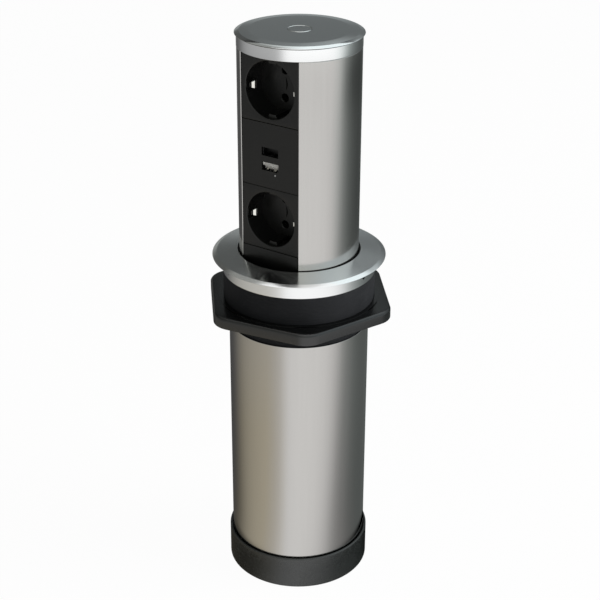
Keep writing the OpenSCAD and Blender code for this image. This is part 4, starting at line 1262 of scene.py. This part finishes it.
@dataclass
class Studio:
    """Camera, pale floor, soft light, and glowing cards that paint the reflections seen in the metal."""

    camera_distance: float = 0.9132
    camera_height: float = 0.65695
    camera_az: float = 34.35
    camera_heading: float = 34.299
    camera_pitch: float = 25.957
    camera_roll: float = 0.206
    lens_mm: float = 85.60
    sensor_mm: float = 36.0
    view_end: float = 50.0
    floor_r: float = 6.0
    floor_colour: str = "fbfbfa"
    floor_white: float = 0.97
    card_lift: float = 0.15 * MM
    # Tints, tones and edges below are painted into the glowing cards' reflections of a sheet, a wall and
    # cloth
    painted_warm_tint: str = "fff5dd"
    painted_cool_tint: str = "f4fefc"
    near_r: float = 0.35
    far_r: float = 1.3
    painted_sheet_white: float = 0.99
    painted_sheet_left: tuple[float, float] = (22.0, 30.0)
    painted_sheet_right: tuple[float, float, float] = (92.0, 12.3, 0.152)
    left_soft: float = 5.0
    right_soft: float = 11.0
    tail_soft: float = 18.0
    painted_wall_tone: tuple[float, float] = (0.70, 0.45)
    painted_wall_fall: tuple[float, float] = (0.0029, 0.0011)
    painted_wall_left: tuple[float, float, float] = (132.0, 8.0, 0.094)
    painted_wall_soft: float = 10.0
    painted_dark_tone: float = 0.07
    # Painted contact shadow at the foot: its reach, its softness, and how it turns and blurs the sheet's
    # edges
    foot_shade_r: float = 0.077
    foot_shade_soft: float = 0.007
    foot_shade_turn: float = 12.0
    foot_shade_blur: float = 4.0
    lid_turn: float = 6.0
    # Painted reflection of a cloth round the floor: its distance and tints
    painted_drape_r: float = 2.2
    painted_drape_cool: str = "eefafe"
    painted_drape_pale: str = "fcfef8"
    key_watts: float = 46.0
    key_size: tuple[float, float] = (1.4, 1.0)
    key_aim: float = 0.2
    key_distance: float = 2.2
    key_elevation: float = 27.0
    key_az: float = 78.0
    fill_level: float = 0.2

    def camera(self) -> None:
        """Sets the photograph's camera: heading about Z, pitch down, then roll about the view."""
        data = bpy.data.cameras.new("camera")
        data.lens = self.lens_mm
        data.sensor_width = self.sensor_mm
        data.clip_end = self.view_end
        view = put_in_scene("camera", data)
        az = math.radians(self.camera_az)
        place = Matrix.Translation((self.camera_distance * math.sin(az), -self.camera_distance * math.cos(az),
                                    self.camera_height))
        turn = (Matrix.Rotation(math.radians(self.camera_heading), 4, "Z")
                @ Matrix.Rotation(math.radians(90 - self.camera_pitch), 4, "X")
                @ Matrix.Rotation(math.radians(self.camera_roll), 4, "Z"))
        view.matrix_world = place @ turn
        bpy.context.scene.camera = view

    def seen(self, tree: NodeTree) -> NodeSocket:
        """1 for rays from the camera, from gloss and through glass, else 0."""
        path = add(tree, "ShaderNodeLightPath")
        shown = add(tree, "ShaderNodeMath", {0: path.outputs["Is Camera Ray"],
                                             1: path.outputs["Is Glossy Ray"]}, operation="MAXIMUM")
        either = add(tree, "ShaderNodeMath", {0: shown.outputs[0], 1: path.outputs["Is Transmission Ray"]},
                     operation="MAXIMUM")
        return either.outputs[0]

    def floor(self) -> None:
        """A large pale disc. What is seen of it is mostly plain white, and the rest keeps the shadow."""
        turn = np.linspace(0, 2 * math.pi, 96, endpoint=False)[:, None]
        ring = np.array([0.001, 0.5, 2.0, self.floor_r])[None, :]
        x, y = ring * np.cos(turn), ring * np.sin(turn)
        grid = np.stack([x, y, np.zeros_like(x)], -1)
        material, tree = empty_tree("studio_floor")
        plain = add(tree, "ShaderNodeBsdfDiffuse", {"Color": linear(self.floor_colour)})
        glow = add(tree, "ShaderNodeEmission", {"Color": (1, 1, 1, 1), "Strength": 1.0})
        share = add(tree, "ShaderNodeMath", {0: self.seen(tree), 1: self.floor_white}, operation="MULTIPLY")
        mixed = add(tree, "ShaderNodeMixShader", {0: share.outputs[0], 1: plain.outputs[0],
                                                  2: glow.outputs[0]})
        finish_tree(tree, mixed.outputs[0])
        self.stage_mesh("studio_floor", Surface(grid, close_rows=True, close_cols=False), material)

    def stage_mesh(self, name: str, surface: Surface, material: Material) -> Object:
        """Makes a mesh that belongs to the studio and not to the object.

        Args:
            name: its name.
            surface: its grid.
            material: its finish.

        Returns:
            The new object.
        """
        mesh = bpy.data.meshes.new(name)
        mesh.from_pydata(surface.points.reshape(-1, 3).tolist(), [], surface.faces())
        mesh.materials.append(material)
        item = put_in_scene(name, mesh)
        return item

    def painted_reflection_card(self, name: str, grid: np.ndarray, colours: np.ndarray) -> None:
        """A card that glows with a colour of its own at each point and shows in reflections only: a painted
        reflection, not a lamp.

        Args:
            name: its name.
            grid: its points, rows by columns by 3.
            colours: linear colour of each point, in the grid's shape.
        """
        # Painted reflection: an emission whose colour is read at each point and is seen only by glossy rays
        material, tree = empty_tree(name)
        tone = add(tree, "ShaderNodeAttribute", attribute_name="tone")
        glow = add(tree, "ShaderNodeEmission", {"Color": tone.outputs["Color"], "Strength": 1.0})
        finish_tree(tree, glow.outputs[0])
        item = self.stage_mesh(name, Surface(grid, close_cols=False), material)
        flat = np.concatenate([colours, np.ones(colours.shape[:2] + (1,))], -1)
        item.data.attributes.new("tone", "FLOAT_COLOR", "POINT").data.foreach_set("color", flat.ravel())
        item.visible_camera = False
        item.visible_diffuse = False
        item.visible_shadow = False
        item.visible_transmission = False

    def about_camera(self, degrees: np.ndarray, radius: np.ndarray | float,
                     height: np.ndarray | float) -> np.ndarray:
        """Points about the axis.

        Args:
            degrees: angles from the camera's side.
            radius: distances from the axis.
            height: heights above the floor.

        Returns:
            The points, rows by columns by 3.
        """
        turn = np.radians(self.camera_az + degrees)
        return np.stack(np.broadcast_arrays(radius * np.sin(turn), -radius * np.cos(turn), height), -1)

    def paint_floor_reflection(self) -> None:
        """Painted reflection of the floor round the object, as shiny metal shows it: a white sheet before the
        object, a wall at its left, dark cloth.

        With a the angle from the camera's side and r the distance, the sheet ends to the right at a slanting
        edge, an angle that grows with r, and its tone dies away into the cloth. To the left it gives way to a
        warm wall that dims with a, and the wall to the cloth. Close to the foot the card is darker, a painted
        contact shadow: there is no wall, and the sheet's edges turn and blur. Both halves meet at their mean
        behind.
        """
        radius = np.concatenate([
            np.linspace(0.045, 0.12, 26), np.linspace(0.135, 0.4, 18), np.linspace(0.43, 1.36, 32),
            [1.37, 1.38, 1.395, 1.41], np.linspace(1.43, self.painted_drape_r, 14)])[None, :]
        degrees = np.linspace(-180, 180, 241)[:, None]
        # Painted contact shadow: near the foot the card darkens, the wall drops out and the sheet's edges
        # turn and blur
        foot = np.clip((radius - self.foot_shade_r) / self.foot_shade_soft, 0, 1)
        below_lid = np.interp(radius, [1.38, 1.395], [0, 1])
        half = slant(radius, *self.painted_sheet_right) - self.foot_shade_turn * (1 - foot) + self.lid_turn * below_lid
        steep = np.interp(radius, [1.08, 1.27, 1.38, 1.395], [1.0, 1.9, 1.9, 1.1])
        past = (degrees - half) * steep
        tail = self.painted_dark_tone + (0.5 - self.painted_dark_tone) * np.exp(-np.maximum(past, 0) / self.tail_soft)
        right = np.where(past < 0, fade(past, self.right_soft), tail)
        # Painted contact shadow past the sheet's right edge at the foot, and a slight painted brightening
        # further out
        foot_shade_and_lift = np.interp(radius, [0.077, 0.084, 0.35, 0.7], [-0.1, 0.05, 0.06, 0])
        right += foot_shade_and_lift * np.clip((degrees - half) / 20, 0, 1)
        rings = [self.near_r, self.far_r]
        blur = self.foot_shade_blur * (1 - foot)
        sheet = fade(-degrees - np.interp(radius, rings, self.painted_sheet_left) - blur, self.left_soft + blur)
        wall = np.interp(radius, rings, self.painted_wall_tone) + np.interp(radius, rings, self.painted_wall_fall) * degrees
        shown = foot * fade(-degrees - slant(radius, *self.painted_wall_left), self.painted_wall_soft)
        left = self.painted_sheet_white * sheet + (1 - sheet) * (shown * wall + (1 - shown) * self.painted_dark_tone)
        behind = 0.25 * np.exp(-((180 - np.abs(degrees)) / 16) ** 2) * np.clip((radius - 0.6) / 0.4, 0, 1)
        front = np.interp(radius, [0.8, 1.1, 1.27, 1.38, 1.395], [0.98, 0.96, 0.87, 0.86, 1.08])
        tone = front * np.where(degrees > 0, right, left) + behind
        meet = np.clip((np.abs(degrees) - 166) / 14, 0, 1)
        tone = (1 - meet) * tone + meet * (tone[:1] + tone[-1:]) / 2
        far = np.clip((radius - 0.25) / 0.5, 0, 1)
        warm = np.interp(degrees, [-140, -105, -50, -15], [0, 1, 1, 0])[..., None] * (1 - far)[..., None]
        cool = np.interp(degrees, [-180, -166, 60, 100, 166, 180], [0.5, 0, 0, 1, 1, 0.5])[..., None]
        tint = 1 - warm * lack(self.painted_warm_tint) - cool * lack(self.painted_cool_tint)
        grid = self.about_camera(degrees, radius, self.card_lift)
        self.painted_reflection_card("painted_floor_reflection", grid, tone[..., None] * tint)

    def paint_drape_reflection(self) -> None:
        """Painted reflection of a cloth round the floor, by direction and height: a glowing card seen only in
        the metal.

        Behind it is dark at the height that the lid and the flange show, lighter below and white above. The
        front and right are bright, the left is dim. Each height has its tones in percent at the places, which
        are angles from the camera's side.
        """
        places = [-180, -176, -170, -162, -130, -90, -58, -37, -12, 0, 60, 100, 116, 132, 150, 165, 176, 180]
        # Tones of the painted reflection, in percent, at each height
        heights = {
            0.003: [30, 30, 28, 26, 26, 35, 40, 55, 95, 100, 97, 45, 20, 12, 10, 14, 28, 30],
            0.18: [30, 30, 28, 26, 26, 35, 40, 55, 93, 98, 95, 40, 15, 10, 8, 12, 28, 30],
            0.30: [30, 30, 29, 27, 26, 35, 40, 50, 66, 68, 75, 60, 40, 20, 10, 13, 28, 30],
            0.70: [30, 30, 29, 27, 26, 35, 40, 50, 62, 65, 75, 60, 40, 20, 10, 13, 28, 30],
            0.90: [15, 15, 11, 10, 10, 20, 30, 40, 60, 62, 75, 70, 50, 30, 16, 14, 15, 15],
            1.15: [14, 14, 9, 8, 9, 20, 30, 40, 60, 62, 75, 70, 50, 30, 18, 14, 14, 14],
            1.36: [20, 16, 8, 8, 9, 20, 30, 40, 60, 62, 75, 75, 50, 30, 22, 20, 35, 20],
            1.52: [26, 17, 8, 8, 9, 20, 30, 40, 60, 62, 75, 75, 60, 45, 30, 18, 34, 26],
            1.70: [28, 15, 8, 8, 9, 20, 30, 40, 60, 62, 80, 80, 80, 70, 46, 14, 24, 28],
            2.00: [30, 12, 3, 3, 7, 20, 30, 40, 60, 62, 80, 80, 70, 60, 26, 10, 14, 30],
            2.12: [60, 25, 6, 4, 7, 20, 30, 40, 60, 65, 80, 80, 60, 40, 20, 16, 36, 60],
            2.25: [90, 80, 56, 28, 25, 28, 30, 50, 70, 70, 85, 100, 100, 100, 100, 100, 100, 90],
            5.00: [90, 80, 56, 28, 25, 28, 30, 50, 95, 100, 100, 100, 100, 100, 100, 100, 100, 90]}
        degrees = np.linspace(-180, 180, 181)[:, None]
        tone = np.concatenate([np.interp(degrees, places, row) for row in heights.values()], 1) / 100
        cool = np.interp(degrees, [-180, -150, -20, 60, 180], [0.7, 0, 0, 1, 0.7])[..., None]
        tint = 1 - cool * lack(self.painted_drape_cool) - (1 - cool) * lack(self.painted_drape_pale)
        grid = self.about_camera(degrees, self.painted_drape_r, np.array(list(heights))[None, :])
        self.painted_reflection_card("painted_drape_reflection", grid, tone[..., None] * tint)

    def lights(self) -> None:
        """One large soft lamp at the right, and an even sky."""
        data = bpy.data.lights.new("key", "AREA")
        data.shape = "RECTANGLE"
        data.size, data.size_y = self.key_size
        data.energy = self.key_watts
        key = put_in_scene("key", data)
        key.visible_glossy = False
        az, rise = math.radians(self.camera_az + self.key_az), math.radians(self.key_elevation)
        key.matrix_world = (Matrix.Translation((0, 0, self.key_aim)) @ Matrix.Rotation(az, 4, "Z")
                            @ Matrix.Rotation(math.pi / 2 - rise, 4, "X")
                            @ Matrix.Translation((0, 0, self.key_distance)))
        world = bpy.data.worlds.new("studio")
        bpy.context.scene.world = world
        world.use_nodes = True
        tree = world.node_tree
        tree.nodes.clear()
        sky = add(tree, "ShaderNodeBackground", {"Color": (1, 1, 1, 1), "Strength": self.fill_level})
        white = add(tree, "ShaderNodeBackground", {"Color": (1, 1, 1, 1), "Strength": 1.0})
        mixed = add(tree, "ShaderNodeMixShader", {0: self.seen(tree), 1: sky.outputs[0], 2: white.outputs[0]})
        add(tree, "ShaderNodeOutputWorld", {"Surface": mixed.outputs[0]})

    def build(self) -> None:
        """Sets up the whole studio."""
        bpy.context.scene.view_settings.view_transform = "Standard"
        self.camera()
        self.floor()
        self.paint_floor_reflection()
        self.paint_drape_reflection()
        self.lights()


def main() -> None:
    """Builds the studio, the finishes and every sub-assembly."""
    logging.basicConfig(level=logging.INFO, format="%(name)s: %(message)s")
    Studio().build()
    finishes = {name: finish.material() for name, finish in vars(Palette()).items()}
    FrameParts().dress(finishes)
    parts = (
        Lid(), ColumnTube(), Collar(), BaseCup(), OuterTube(), ThreadedSleeve(), ClampNut(),
        SocketFront("upper"), SocketFront("lower"), PlugContacts(),
        ChargingPort("upper", "inner", "inner", "dark_steel", "inner_plastic", shell_in=1.3 * MM,
                     tongue_in=5.0 * MM),
        ChargingPort("lower", "dark_steel", "white", "nickel", "white_plastic", shell_in=0.6 * MM,
                     back_in=2.9 * MM))
    for part in parts:
        part.build(finishes)


if __name__ == "__main__":
    main()
